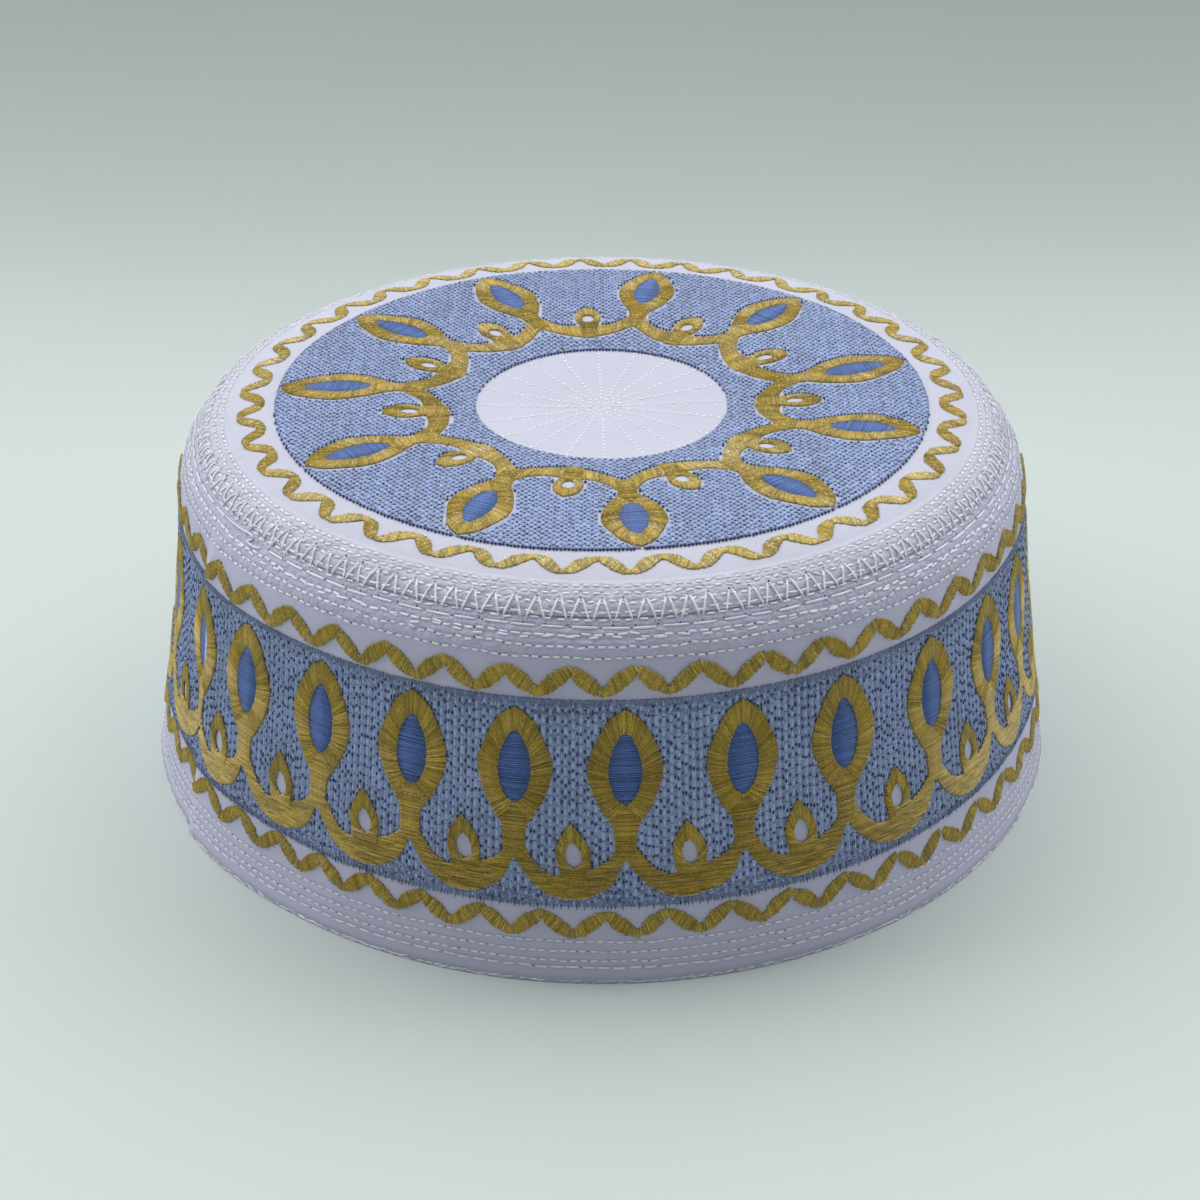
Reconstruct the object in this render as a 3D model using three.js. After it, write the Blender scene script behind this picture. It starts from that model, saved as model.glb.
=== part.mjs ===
// Embroidered round cap: a flat, slightly dished crown whose turned-down rim is sewn
// over the top edge of a tall side band, which closes with an overlapped seam at the side.
// Millimetres, +Z up. The origin is on the surface that the cap rests on, at the middle
// of its open lower edge. The front of the cap faces -Y.

import * as THREE from 'three';
import { mergeVertices } from 'three/addons/utils/BufferGeometryUtils.js';

// Driving dimensions
const baseRadius = 92.5;
const wallLean = 0.2168;
const wallCurve = 0.0886;
const wallTop = 60;
const bandCloth = 1.6;
const tuckedCloth = 1.3;
const crownCloth = 1.4;
const rimCloth = 1.0;
const stitchDip = 0.18;
const quiltPuff = 0.15;

// Rows of running stitches that quilt the foot of the band, as heights
const quiltRows = [3.1, 4.4, 6.2, 8.1];
const plainWallHeights = [10, 17, 25, 34, 43, 52];

// The band's seam at the wearer's right: the front end laps over the end behind it
const seamAngle = -149.5;
const seamStep = 0.9;
const seamFade = 26;
const seamTop = 64;
const seamFadeHeight = 6;

const roundSegments = 72;

// Shoulder of the band, from the top of its wall to the tuck under the crown's rim.
// A dip is a row of stitches that pulls the cloth in.
const shoulderSections = [
  { radius: 82.75, height: 60.9, dip: 0 },
  { radius: 82.4, height: 61.7, dip: 1 },
  { radius: 82.2, height: 62.6, dip: 0 },
  { radius: 81.8, height: 63.5, dip: 1 },
  { radius: 81.4, height: 64.3, dip: 0 },
  { radius: 80.8, height: 65.0, dip: 1 },
  { radius: 80.3, height: 65.7, dip: 0 },
  { radius: 79.7, height: 66.1, dip: 1 },
];

// Edge of the band that is tucked under the crown
const tuckSections = [
  { radius: 77.75, height: 66.75 },
  { radius: 76.9, height: 67.85 },
  { radius: 75.9, height: 68.45 },
  { radius: 73.4, height: 69.2 },
];

// Top face of the crown, from its middle to the cut edge of its rim
const crownSections = [
  { radius: 0, height: 68.8, cloth: crownCloth },
  { radius: 12, height: 69.2, cloth: crownCloth },
  { radius: 24.6, height: 69.8, cloth: crownCloth },
  { radius: 31, height: 70.4, cloth: crownCloth },
  { radius: 37, height: 70.95, cloth: crownCloth },
  { radius: 45, height: 71.4, cloth: crownCloth },
  { radius: 53, height: 71.75, cloth: crownCloth },
  { radius: 60, height: 71.9, cloth: crownCloth },
  { radius: 66, height: 71.85, cloth: crownCloth },
  { radius: 71, height: 71.45, cloth: crownCloth },
  { radius: 73.9, height: 70.75, cloth: 1.2 },
  { radius: 74.8, height: 70.55, cloth: 1.2 },
  { radius: 75.6, height: 70.05, cloth: 1.1 },
  { radius: 76.6, height: 69.65, cloth: rimCloth },
  { radius: 77.7, height: 68.95, cloth: rimCloth },
  { radius: 78.7, height: 67.7, cloth: rimCloth },
];

function wallRadius(height) {
  const rise = height / baseRadius;
  return baseRadius * (1 - wallLean * rise + wallCurve * rise * rise);
}

// The face behind a run of sections, one cloth thickness away, on the left of the run
function backFace(sections) {
  return sections.map((section, index) => {
    const before = sections[Math.max(index - 1, 0)];
    const after = sections[Math.min(index + 1, sections.length - 1)];
    const along = new THREE.Vector2(after.radius - before.radius, after.height - before.height);
    along.normalize();
    const onAxis = section.radius === 0;
    return {
      radius: onAxis ? 0 : section.radius - along.y * section.cloth,
      height: section.height + along.x * section.cloth,
    };
  });
}

function lathePoints(sections) {
  return sections.map(({ radius, height }) => new THREE.Vector2(radius, height));
}

// Turns a closed profile about +Z. Azimuth 0 is +X, and columns lists each column's azimuth.
function turnedSolid(sections, columns) {
  const points = lathePoints(sections);
  const geometry = new THREE.LatheGeometry(points, columns.length - 1);
  geometry.rotateX(Math.PI / 2);
  geometry.deleteAttribute('normal');
  geometry.deleteAttribute('uv');
  const position = geometry.attributes.position;
  for (let index = 0; index < position.count; index += 1) {
    const column = columns[Math.floor(index / points.length)];
    const radius = Math.hypot(position.getX(index), position.getY(index));
    const angle = THREE.MathUtils.degToRad(column);
    position.setX(index, radius * Math.cos(angle));
    position.setY(index, radius * Math.sin(angle));
  }
  return geometry;
}

function closedSolid(geometry) {
  const solid = mergeVertices(geometry, 1e-4);
  solid.computeVertexNormals();
  return solid;
}

function evenColumns() {
  const pitch = 360 / roundSegments;
  return Array.from({ length: roundSegments + 1 }, (_, index) => index * pitch - 180);
}

// One more column beside the seam carries its step
function bandColumns() {
  return [...evenColumns(), seamAngle].sort((first, second) => first - second);
}

// How far the lapped end of the band stands out at an azimuth and a height
function seamLift(azimuth, height) {
  const past = azimuth - seamAngle;
  if (past < 0 || past > seamFade) {
    return 0;
  }
  const round = 1 - THREE.MathUtils.smoothstep(past, 0, seamFade);
  const rise = 1 - THREE.MathUtils.smoothstep(height, seamTop - seamFadeHeight, seamTop);
  return seamStep * round * rise;
}

// The wall from the floor up, drawn in at each quilting row and puffed between them
function wallSections() {
  const sections = [{ radius: baseRadius, height: 0 }];
  const limits = [1.6, ...quiltRows.slice(1).map((row, index) => (row + quiltRows[index]) / 2), 9.2];
  quiltRows.forEach((row, index) => {
    sections.push({ radius: wallRadius(limits[index]) + quiltPuff, height: limits[index] });
    sections.push({ radius: wallRadius(row) - stitchDip, height: row });
  });
  const last = limits[limits.length - 1];
  sections.push({ radius: wallRadius(last) + quiltPuff, height: last });
  for (const height of [...plainWallHeights, wallTop]) {
    sections.push({ radius: wallRadius(height), height });
  }
  return sections;
}

function bandGeometry() {
  const shoulder = shoulderSections.map(({ radius, height, dip }) => ({
    radius: radius + (dip ? -stitchDip : quiltPuff),
    height,
  }));
  const outside = [...wallSections(), ...shoulder, ...tuckSections];
  const lining = [
    { radius: baseRadius, height: 0, cloth: bandCloth },
    ...[20, 40, wallTop].map((height) => ({ radius: wallRadius(height), height, cloth: bandCloth })),
    { radius: 81.9, height: 63.2, cloth: bandCloth },
    { radius: 79.9, height: 66.1, cloth: bandCloth },
    ...tuckSections.map((section) => ({ ...section, cloth: tuckedCloth })),
  ];
  const inside = backFace(lining).reverse();
  inside[inside.length - 1].height = 0;
  const columns = bandColumns();
  const profile = [...outside, ...inside, outside[0]];
  const geometry = turnedSolid(profile, columns);
  liftSeam(geometry, columns, outside.length, profile.length);
  return closedSolid(geometry);
}

// Only the outer face of the band carries the lap, so the profile's other points stay put
function liftSeam(geometry, columns, outsideCount, profileCount) {
  const position = geometry.attributes.position;
  for (let index = 0; index < position.count; index += 1) {
    const place = index % profileCount;
    const azimuth = columns[Math.floor(index / profileCount)];
    const x = position.getX(index);
    const y = position.getY(index);
    const isOutside = place < outsideCount || place === profileCount - 1;
    const lift = isOutside ? seamLift(azimuth, position.getZ(index)) : 0;
    const stretch = 1 + lift / Math.hypot(x, y);
    position.setX(index, x * stretch);
    position.setY(index, y * stretch);
  }
}

function crownGeometry() {
  const topFace = [...crownSections].reverse();
  const underside = backFace(topFace).reverse();
  return closedSolid(turnedSolid([...underside, ...topFace], evenColumns()));
}

function cloth(name, geometry, colour, roughness) {
  const material = new THREE.MeshStandardMaterial({ color: colour, roughness, metalness: 0 });
  const mesh = new THREE.Mesh(geometry, material);
  mesh.name = name;
  return mesh;
}

const cap = new THREE.Group();
cap.add(cloth('side_band', bandGeometry(), 0xb9bccb, 0.9));
cap.add(cloth('crown', crownGeometry(), 0xd6d8e6, 0.88));

export default cap;
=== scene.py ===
"""Looks of an embroidered round cap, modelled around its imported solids.

Every thread is a small closed body laid on the cloth, and threads of one kind are joined in one mesh.
The embroidery is drawn in millimetres on two drawing planes: across and up on the side band, x and y on
the crown. Everything else is metres, +Z up, with the front of the cap facing -Y.
"""

import math

import bmesh
import bpy
import numpy as np
from bpy.props import FloatProperty, FloatVectorProperty, IntProperty, PointerProperty
from bpy.types import Operator, Panel, PropertyGroup
from mathutils import Matrix, Vector


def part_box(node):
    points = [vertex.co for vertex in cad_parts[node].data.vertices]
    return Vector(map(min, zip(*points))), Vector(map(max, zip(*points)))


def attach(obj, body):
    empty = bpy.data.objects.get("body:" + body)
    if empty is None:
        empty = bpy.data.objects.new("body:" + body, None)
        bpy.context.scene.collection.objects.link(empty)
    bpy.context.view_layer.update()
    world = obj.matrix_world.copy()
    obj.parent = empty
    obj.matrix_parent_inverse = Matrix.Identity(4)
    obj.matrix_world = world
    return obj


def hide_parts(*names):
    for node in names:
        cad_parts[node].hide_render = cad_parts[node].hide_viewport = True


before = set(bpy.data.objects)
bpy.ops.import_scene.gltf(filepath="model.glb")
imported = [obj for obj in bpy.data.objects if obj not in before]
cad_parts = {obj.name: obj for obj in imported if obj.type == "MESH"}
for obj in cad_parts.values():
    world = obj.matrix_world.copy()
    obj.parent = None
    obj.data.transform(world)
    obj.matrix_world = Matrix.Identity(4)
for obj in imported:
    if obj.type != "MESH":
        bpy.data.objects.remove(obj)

bl_info = {
    "name": "Embroidered round cap",
    "version": (1, 0, 0),
    "blender": (4, 5, 0),
    "location": "View3D > Sidebar > Cap",
    "description": "Models the cloth, the embroidery and the stitching of an embroidered round cap",
    "category": "Object",
}

MM = 0.001
TURN = 2 * math.pi

# The solids give the cap's reach
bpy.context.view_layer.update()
BASE_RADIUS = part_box("side_band")[1].x / MM

# Side band, in millimetres: the wall leans in on a shallow curve, then rounds over under the crown
WALL_LEAN = 0.2168
WALL_CURVE = 0.0886
WALL_TOP = 60.0
BAND_CLOTH = 1.6
SHOULDER = ((82.4, 61.7), (81.8, 63.5), (80.8, 65.0), (79.85, 66.15), (79.35, 66.8), (78.75, 67.35))
TUCK = ((77.5, 67.8), (75.9, 68.35), (73.4, 69.2))
DRAW_RADIUS = 88.0

# Crown, in millimetres: radius and height of its top face, which is lowest in the middle
CROWN_FACE = (
    (0.0, 68.8),
    (12.0, 69.2),
    (24.6, 69.8),
    (31.0, 70.4),
    (37.0, 70.95),
    (45.0, 71.4),
    (53.0, 71.75),
    (60.0, 71.9),
    (66.0, 71.85),
    (71.0, 71.45),
    (74.0, 70.75),
    (76.3, 69.75),
    (77.7, 68.75),
    (78.4, 68.05),
    (78.75, 67.6),
)
CROWN_EDGE = CROWN_FACE[-1][0]
CROWN_CLOTH = 1.4
RIM_CLOTH = 0.35

# The band's lapped seam at the wearer's right
SEAM_ANGLE = math.radians(-149.5)
SEAM_STEP = 0.9
SEAM_FADE = math.radians(26)
SEAM_TOP = 64.0
SEAM_FADE_HEIGHT = 6.0

# Rows of white stitches: height on the band or radius on the crown, stitch pitch and stitch length
BAND_ROWS = (
    {"place": 3.1, "pitch": 2.8, "stitch": 2.3, "wander": 0.10},
    {"place": 4.4, "pitch": 1.8, "stitch": 1.45, "wander": 0.09},
    {"place": 6.2, "pitch": 1.8, "stitch": 1.45, "wander": 0.09},
    {"place": 8.1, "pitch": 1.8, "stitch": 1.45, "wander": 0.09},
    {"place": 61.7, "pitch": 1.75, "stitch": 1.4, "wander": 0.11},
    {"place": 63.5, "pitch": 1.75, "stitch": 1.4, "wander": 0.17},
    {"place": 65.0, "pitch": 2.0, "stitch": 1.75, "wander": 0.18},
    {"place": 64.7, "pitch": 3.9, "stitch": 1.9, "wander": 0.22},
    {"place": 66.15, "pitch": 5.1, "stitch": 4.4, "wander": 0.07},
    {"place": 67.2, "pitch": 2.3, "stitch": 1.6, "wander": 0.13},
)
CROWN_ROWS = (
    {"place": 74.0, "pitch": 1.75, "stitch": 1.4, "wander": 0.08},
    {"place": 75.4, "pitch": 1.75, "stitch": 1.4, "wander": 0.11},
    {"place": 76.9, "pitch": 1.75, "stitch": 1.35, "wander": 0.16},
    {"place": 78.35, "pitch": 2.4, "stitch": 1.9, "wander": 0.12},
)

# A loose stretch of the long row beside the seam: angle in degrees and height
LOOSE_THREAD = (
    (-149.3, 66.4),
    (-147.0, 66.4),
    (-145.2, 66.5),
    (-143.5, 66.65),
    (-142.3, 66.75),
    (-141.4, 66.5),
    (-141.6, 66.05),
    (-142.3, 65.85),
    (-141.5, 65.6),
    (-140.4, 65.6),
    (-139.1, 66.0),
)
LOOSE_ROW = 8
GROOVE_DEPTH = 0.13
GROOVE_WIDTH = 0.4
QUILT_PUFF = 0.06

# Where the band's motifs stray from even spacing, in degrees: from the left of the front to its right,
# and behind the seam up to the first
BAND_FIRST_NECK = -140.13
BAND_STRAY = (1.5, 1.3, 0.9, 0.1, -0.5, 0.0, -0.1, 0.9, 0.7, -0.7, -0.6, -0.3)
BAND_STRAY_BEHIND = (0.5, 1.3, 2.3, 3.3)
BAND_FOOT = 23.5

# The crown's motifs, in degrees: where each neck stands, how far its loop leans and where the small
# loop after it stands
CROWN_MOTIFS = (
    {"neck": -151.0, "lean": 2.3, "small": -134.3},
    {"neck": -116.4, "lean": 7.0, "small": -99.1},
    {"neck": -83.3, "lean": -1.3, "small": -67.0},
    {"neck": -50.6, "lean": 3.8, "small": -35.1},
    {"neck": -19.3, "lean": 6.5, "small": -2.6},
    {"neck": 11.7, "lean": 5.2, "small": 28.8},
    {"neck": 47.0, "lean": 2.9, "small": 61.9},
    {"neck": 79.1, "lean": 0.2, "small": 94.3},
    {"neck": 110.8, "lean": 8.0, "small": 125.6},
    {"neck": 141.3, "lean": 7.0, "small": 157.0},
    {"neck": 174.0, "lean": 11.0, "small": 190.5},
)
CROWN_FOOT = 35.5
CROWN_STRETCH = 0.955
CROWN_WIDTH = 0.88

# One motif, in millimetres from the notch under its neck: half widths of the loop and of its hole
LOOP_OUTSIDE = (
    (0.3, 2.1),
    (1.5, 1.85),
    (4.0, 1.9),
    (6.5, 2.15),
    (9.0, 3.6),
    (11.5, 5.05),
    (14.0, 6.0),
    (16.5, 6.6),
    (18.5, 6.65),
    (20.0, 6.3),
    (21.5, 5.75),
    (24.0, 4.6),
    (26.5, 3.2),
    (28.0, 1.6),
    (28.9, 0.1),
)
LOOP_HOLE = (
    (10.9, 0.1),
    (11.4, 0.9),
    (12.4, 1.75),
    (14.0, 2.45),
    (16.5, 2.95),
    (19.5, 2.75),
    (21.5, 2.25),
    (22.8, 1.6),
    (24.0, 0.9),
    (24.6, 0.15),
)

# The small loop on each crescent, and how far it leans, in degrees
SMALL_LOOPS = {
    "band": {
        "outside": (
            (-2.6, 2.55),
            (-1.5, 2.65),
            (0.0, 2.85),
            (1.4, 2.95),
            (3.3, 2.6),
            (4.4, 2.1),
            (5.5, 1.4),
            (6.4, 0.75),
            (7.2, 0.05),
        ),
        "hole": (
            (-1.15, 0.1),
            (-0.9, 0.8),
            (-0.2, 1.3),
            (0.7, 1.5),
            (1.8, 1.42),
            (2.8, 1.0),
            (3.3, 0.6),
            (3.6, 0.1),
        ),
    },
    "crown": {
        "outside": (
            (-5.4, 1.9),
            (-0.5, 2.1),
            (1.0, 2.55),
            (2.6, 2.95),
            (4.2, 2.95),
            (5.8, 2.5),
            (7.0, 1.7),
            (7.7, 0.95),
            (8.1, 0.1),
        ),
        "hole": ((0.6, 0.1), (0.9, 0.75), (1.6, 1.3), (2.6, 1.5), (3.6, 1.3), (4.3, 0.75), (4.6, 0.1)),
    },
}
SMALL_SHIFT = 0.8
SMALL_LEAN = -5.0

# The crescent from notch to notch: its lower and upper edges across the gap, which is 2 SWAG_HALF wide
SWAG_HALF = 10.2
SWAGS = {
    "band": {
        "low": (
            (-10.2, 0.8),
            (-9.1, -1.0),
            (-7.3, -3.5),
            (-4.6, -5.8),
            (-2.0, -6.9),
            (0.7, -7.2),
            (3.4, -6.8),
            (5.7, -5.8),
            (8.3, -3.5),
            (9.5, -0.9),
            (10.2, 0.8),
        ),
        "high": (
            (-10.2, 3.2),
            (-8.2, 2.4),
            (-6.6, 0.1),
            (-5.2, -1.4),
            (-3.3, -2.5),
            (-1.5, -2.6),
            (1.5, -2.2),
            (4.1, -1.1),
            (5.6, -0.5),
            (7.2, 0.5),
            (8.5, 1.9),
            (10.2, 2.6),
        ),
    },
    "crown": {
        "low": (
            (-10.2, 0.0),
            (-9.3, -0.8),
            (-7.8, -2.2),
            (-5.6, -3.8),
            (-3.0, -4.9),
            (0.0, -5.3),
            (3.0, -4.9),
            (5.6, -3.8),
            (7.8, -2.2),
            (9.3, -0.8),
            (10.2, 0.0),
        ),
        "high": (
            (-10.2, 4.6),
            (-8.4, 4.0),
            (-7.6, 2.4),
            (-6.4, 0.9),
            (-4.8, -0.1),
            (-2.5, -0.5),
            (0.0, -0.6),
            (2.5, -0.5),
            (4.8, -0.1),
            (6.4, 0.9),
            (7.6, 2.4),
            (8.4, 4.0),
            (10.2, 4.6),
        ),
    },
}

# One wave from cusp to cusp: share of the way, then the ends of its threads. Across is in periods,
# and up is in millimetres from the cusp.
BAND_WAVE = (
    {"share": 0.00, "upper": (0.020, 0.05), "lower": (-0.005, -1.05)},
    {"share": 0.12, "upper": (0.135, -0.45), "lower": (0.035, -2.40)},
    {"share": 0.25, "upper": (0.250, -1.20), "lower": (0.125, -3.60)},
    {"share": 0.38, "upper": (0.365, -2.35), "lower": (0.265, -4.75)},
    {"share": 0.50, "upper": (0.479, -3.80), "lower": (0.470, -5.55)},
    {"share": 0.62, "upper": (0.590, -2.20), "lower": (0.665, -4.90)},
    {"share": 0.75, "upper": (0.705, -1.00), "lower": (0.815, -3.50)},
    {"share": 0.88, "upper": (0.835, -0.20), "lower": (0.938, -2.10)},
    {"share": 1.00, "upper": (0.974, 0.25), "lower": (1.010, -0.75)},
)
CROWN_WAVE = (
    {"share": 0.00, "upper": (0.000, -0.10), "lower": (0.000, -0.80)},
    {"share": 0.12, "upper": (0.140, -0.15), "lower": (0.075, -2.05)},
    {"share": 0.25, "upper": (0.285, -1.15), "lower": (0.175, -3.85)},
    {"share": 0.38, "upper": (0.410, -2.60), "lower": (0.330, -4.95)},
    {"share": 0.50, "upper": (0.520, -3.65), "lower": (0.520, -5.20)},
    {"share": 0.62, "upper": (0.620, -2.55), "lower": (0.710, -4.80)},
    {"share": 0.75, "upper": (0.735, -1.10), "lower": (0.840, -3.60)},
    {"share": 0.88, "upper": (0.865, -0.15), "lower": (0.930, -1.90)},
    {"share": 1.00, "upper": (1.000, -0.10), "lower": (1.000, -0.80)},
)

# The waves' borders: height of their cusps, where one cusp stands in degrees, how tall they are, and
# how far they drift from that: at an angle, by some degrees round and by some millimetres up
BAND_BORDERS = (
    {
        "top": 60.2,
        "first": -93.5,
        "tall": 0.98,
        "drift": (
            (-155, 1.7, -0.1),
            (-131, 0.9, -0.3),
            (-116, 0.4, -0.3),
            (-100, 0.0, -0.1),
            (-70, 0.1, 0.2),
            (-60, 0.4, 0.3),
            (-45, 0.0, 0.4),
            (-26, -1.3, 0.5),
            (-15, -2.0, 0.4),
            (205, 1.7, -0.1),
        ),
    },
    {
        "top": 14.3,
        "first": -89.6,
        "tall": 0.9,
        "drift": (
            (-155, 1.7, 0.2),
            (-140, 1.9, 0.2),
            (-126, 1.2, 0.1),
            (-112, 0.6, -0.3),
            (-97, 0.2, -0.5),
            (-82, 0.1, -0.3),
            (-65, 0.3, -0.6),
            (-50, 1.0, -1.3),
            (-32, 2.0, -1.4),
            (205, 1.7, 0.2),
        ),
    },
)
CROWN_BORDER = {"top": 71.2, "first": -86.0, "stray": 2.1, "stray_at": 15.0, "stray_over": 38.0}

# Blue fields: limits on the band as heights and on the crown as radii, and rows along their edges
BAND_FIELD = (15.2, 53.9)
BAND_FIELD_ROWS = (16.4, 17.6, 51.6, 52.9)
CROWN_FIELD = (24.9, 63.9)
CROWN_FIELD_ROWS = (63.5, 62.3, 61.2, 25.4, 27.2, 28.6)

# How a thread stands off the cloth from end to end, as shares of its arch
SATIN = (-0.15, 0.82, 1, 0.82, -0.15)
FILL = (-0.6, 1, 1, -0.6)
DIP_SHADE = (0.4, 1, 0.4)
PLY_HIGHLIGHT = (0.8, 1, 0.8)
SEWN = (-0.6, 0.8, 1, 0.8, -0.6)
SHORTEST_STITCH = 0.1

# The zigzag over the crown's rim: its ends in millimetres, and how far off the cloth it runs
ZIGZAG_HEAD = 76.3
ZIGZAG_FOOT = 66.6
OVER_RIM = (-0.12, 0.24, 0.26, 0.26, 0.22, -0.12)

# Rows of the band whose stitches show needle holes, painted as dark cones of shade, and the share of them
# that do
HOLE_SHARES = ((4, 0.55), (5, 0.6), (6, 0.5), (8, 0.8), (0, 0.3), (1, 0.3), (2, 0.3), (3, 0.3))
HEM_FIBRES = 1500

# Stage: soft lights by place, size in metres and power in watts, and the camera
LIGHTS = {
    "key": ((-0.09, 0.58, 1.1), (4.8, 1.2), 36.0),
    "fill": ((0.0, -0.3, 1.7), (1.8, 1.8), 2.7),
    "left": ((-1.5, 0.1, 0.6), (0.8, 0.8), 3.6),
    "right": ((1.5, 0.1, 0.7), (0.8, 0.8), 3.8),
}
ROOM_LIGHT = 0.225
CAMERA_LENS = 66.47
CAMERA_PLACE = (-0.0003, -0.3966, 0.2579)
CAMERA_TILT = math.radians(59.53)


def smoothstep(low, high, value):
    share = np.clip((value - low) / (high - low), 0, 1)
    return share * share * (3 - 2 * share)


def wrapped(angle):
    return np.mod(angle + math.pi, TURN) - math.pi


class Curve:
    """A smooth line through stations of (along, across), read at any place along it."""

    def __init__(self, stations):
        self.along, self.across = np.array(stations, float).T
        self.slopes = np.gradient(self.across, self.along)

    def __call__(self, place):
        return self._read(place)[0]

    def slope(self, place):
        return self._read(place)[1]

    def _read(self, place):
        place = np.clip(place, self.along[0], self.along[-1])
        index = np.clip(np.searchsorted(self.along, place) - 1, 0, len(self.along) - 2)
        span = self.along[index + 1] - self.along[index]
        t = (place - self.along[index]) / span
        low, high = self.across[index], self.across[index + 1]
        start, end = self.slopes[index] * span, self.slopes[index + 1] * span
        value = (
            low * (1 + 2 * t) * (1 - t) ** 2
            + start * t * (1 - t) ** 2
            + high * t * t * (3 - 2 * t)
            + end * t * t * (t - 1)
        )
        rate = (
            6 * (high - low) * t * (1 - t)
            + start * (1 - t) * (1 - 3 * t)
            + end * t * (3 * t - 2)
        ) / span
        return value, rate


def wall_radius(height):
    rise = height / BASE_RADIUS
    return BASE_RADIUS * (1 - WALL_LEAN * rise + WALL_CURVE * rise * rise)


def grooves(place, rows):
    """How far the rows of stitches pull the cloth in, with a slight puff beside each."""
    depth = 0
    for row in rows:
        near = (place - row["place"]) / GROOVE_WIDTH
        depth = np.maximum(depth, np.exp(-near * near))
    beside = np.zeros_like(place)
    for row in rows:
        beside = np.maximum(beside, np.exp(-(((place - row["place"]) / (3 * GROOVE_WIDTH)) ** 2)))
    return QUILT_PUFF * beside - (GROOVE_DEPTH + QUILT_PUFF) * depth


class BandFace:
    """The side band's outer face. Across is measured round it at DRAW_RADIUS, up is the height."""

    name = "band"
    curve = Curve(
        [(height, wall_radius(height)) for height in np.linspace(0, WALL_TOP, 13)]
        + [(height, radius) for radius, height in SHOULDER + TUCK]
    )

    @classmethod
    def at(cls, across, up):
        angle = np.asarray(across) / DRAW_RADIUS
        slope = cls.curve.slope(up)
        length = np.sqrt(1 + slope * slope)
        outward, rising = 1 / length, -slope / length
        relief = cls.relief(angle, up)
        radius = cls.curve(up) + cls.lap(angle, up) + outward * relief
        point = np.stack([radius * np.cos(angle), radius * np.sin(angle), up + rising * relief], -1)
        normal = np.stack([outward * np.cos(angle), outward * np.sin(angle), rising], -1)
        return point * MM, normal

    @staticmethod
    def lap(angle, height):
        past = wrapped(angle - SEAM_ANGLE)
        fade = 1 - smoothstep(0, SEAM_FADE, past)
        rise = 1 - smoothstep(SEAM_TOP - SEAM_FADE_HEIGHT, SEAM_TOP, height)
        return np.where(past >= 0, SEAM_STEP * fade * rise, 0)

    @staticmethod
    def relief(angle, height):
        belly = np.sin(math.pi * np.clip(height / WALL_TOP, 0, 1))
        sway = 0.22 * np.sin(3 * angle + 0.6) + 0.14 * np.sin(7 * angle + 2.1) + 0.07 * np.sin(17 * angle)
        shoulder = smoothstep(58, 63, height) * (1 - smoothstep(66, 67, height))
        pucker = 0.07 * np.sin(61 * angle + 0.9 * height) + 0.05 * np.sin(97 * angle - 1.3 * height)
        return belly * sway + shoulder * pucker + grooves(height, BAND_ROWS)


class CrownFace:
    """The crown's top face, drawn as seen from above."""

    name = "crown"
    curve = Curve(CROWN_FACE)

    @classmethod
    def at(cls, x, y):
        x, y = np.asarray(x, float), np.asarray(y, float)
        radius = np.hypot(x, y)
        safe = np.maximum(radius, 1e-6)
        slope = cls.curve.slope(radius)
        length = np.sqrt(1 + slope * slope)
        normal = np.stack([-slope * x / safe / length, -slope * y / safe / length, 1 / length], -1)
        point = np.stack([x, y, cls.curve(radius)], -1)
        return (point + normal * cls.relief(x, y)[..., None]) * MM, normal

    @staticmethod
    def relief(x, y):
        radius = np.hypot(x, y)
        angle = np.arctan2(y, x)
        inner = 1 - smoothstep(60, 72, radius)
        sway = 0.20 * np.sin(x / 13 + 0.8) * np.sin(y / 15 + 0.3) + 0.10 * np.sin((x - y) / 9)
        rim = smoothstep(72, 75, radius) * (1 - smoothstep(78.0, 79.0, radius))
        pucker = 0.10 * np.sin(57 * angle + radius) + 0.07 * np.sin(119 * angle - 2 * radius)
        return inner * sway + rim * pucker + grooves(radius, CROWN_ROWS)


def nearest(offsets):
    """The smallest of each row of offsets, and which it is."""
    index = np.abs(offsets).argmin(-1)
    return np.take_along_axis(offsets, index[..., None], -1)[..., 0], index


class BandLayout:
    """Where the side band's motifs stand, and how their drawing is carried to the band's plane."""

    face = BandFace

    def __init__(self, count):
        pitch = 360 / count
        stray = np.zeros(count)
        stray[: len(BAND_STRAY)] = BAND_STRAY
        stray[-len(BAND_STRAY_BEHIND) :] = BAND_STRAY_BEHIND
        self.necks = np.radians(BAND_FIRST_NECK + pitch * np.arange(count) + stray) * DRAW_RADIUS
        following = np.append(self.necks[1:], self.necks[0] + TURN * DRAW_RADIUS)
        self.mids = (self.necks + following) / 2
        self.halves = (following - self.necks) / 2
        self.lean = math.tan(math.radians(SMALL_LEAN))

    def from_neck(self, index, x, y):
        return np.stack([self.necks[index] + x, BAND_FOOT + y], -1)

    def from_small(self, index, x, y):
        return np.stack([self.mids[index] + SMALL_SHIFT + x + self.lean * y, BAND_FOOT + y], -1)

    def from_gap(self, index, x, y):
        return np.stack([self.mids[index] + x * self.halves[index] / SWAG_HALF, BAND_FOOT + y], -1)

    def to_neck(self, across, up):
        return nearest(self._offsets(across, self.necks))[0], up - BAND_FOOT

    def to_small(self, across, up):
        offset = nearest(self._offsets(across, self.mids))[0]
        return offset - SMALL_SHIFT - self.lean * (up - BAND_FOOT), up - BAND_FOOT

    def to_gap(self, across, up):
        offset, index = nearest(self._offsets(across, self.mids))
        return offset * SWAG_HALF / self.halves[index], up - BAND_FOOT

    @staticmethod
    def _offsets(across, places):
        return wrapped((np.asarray(across)[..., None] - places) / DRAW_RADIUS) * DRAW_RADIUS


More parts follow.
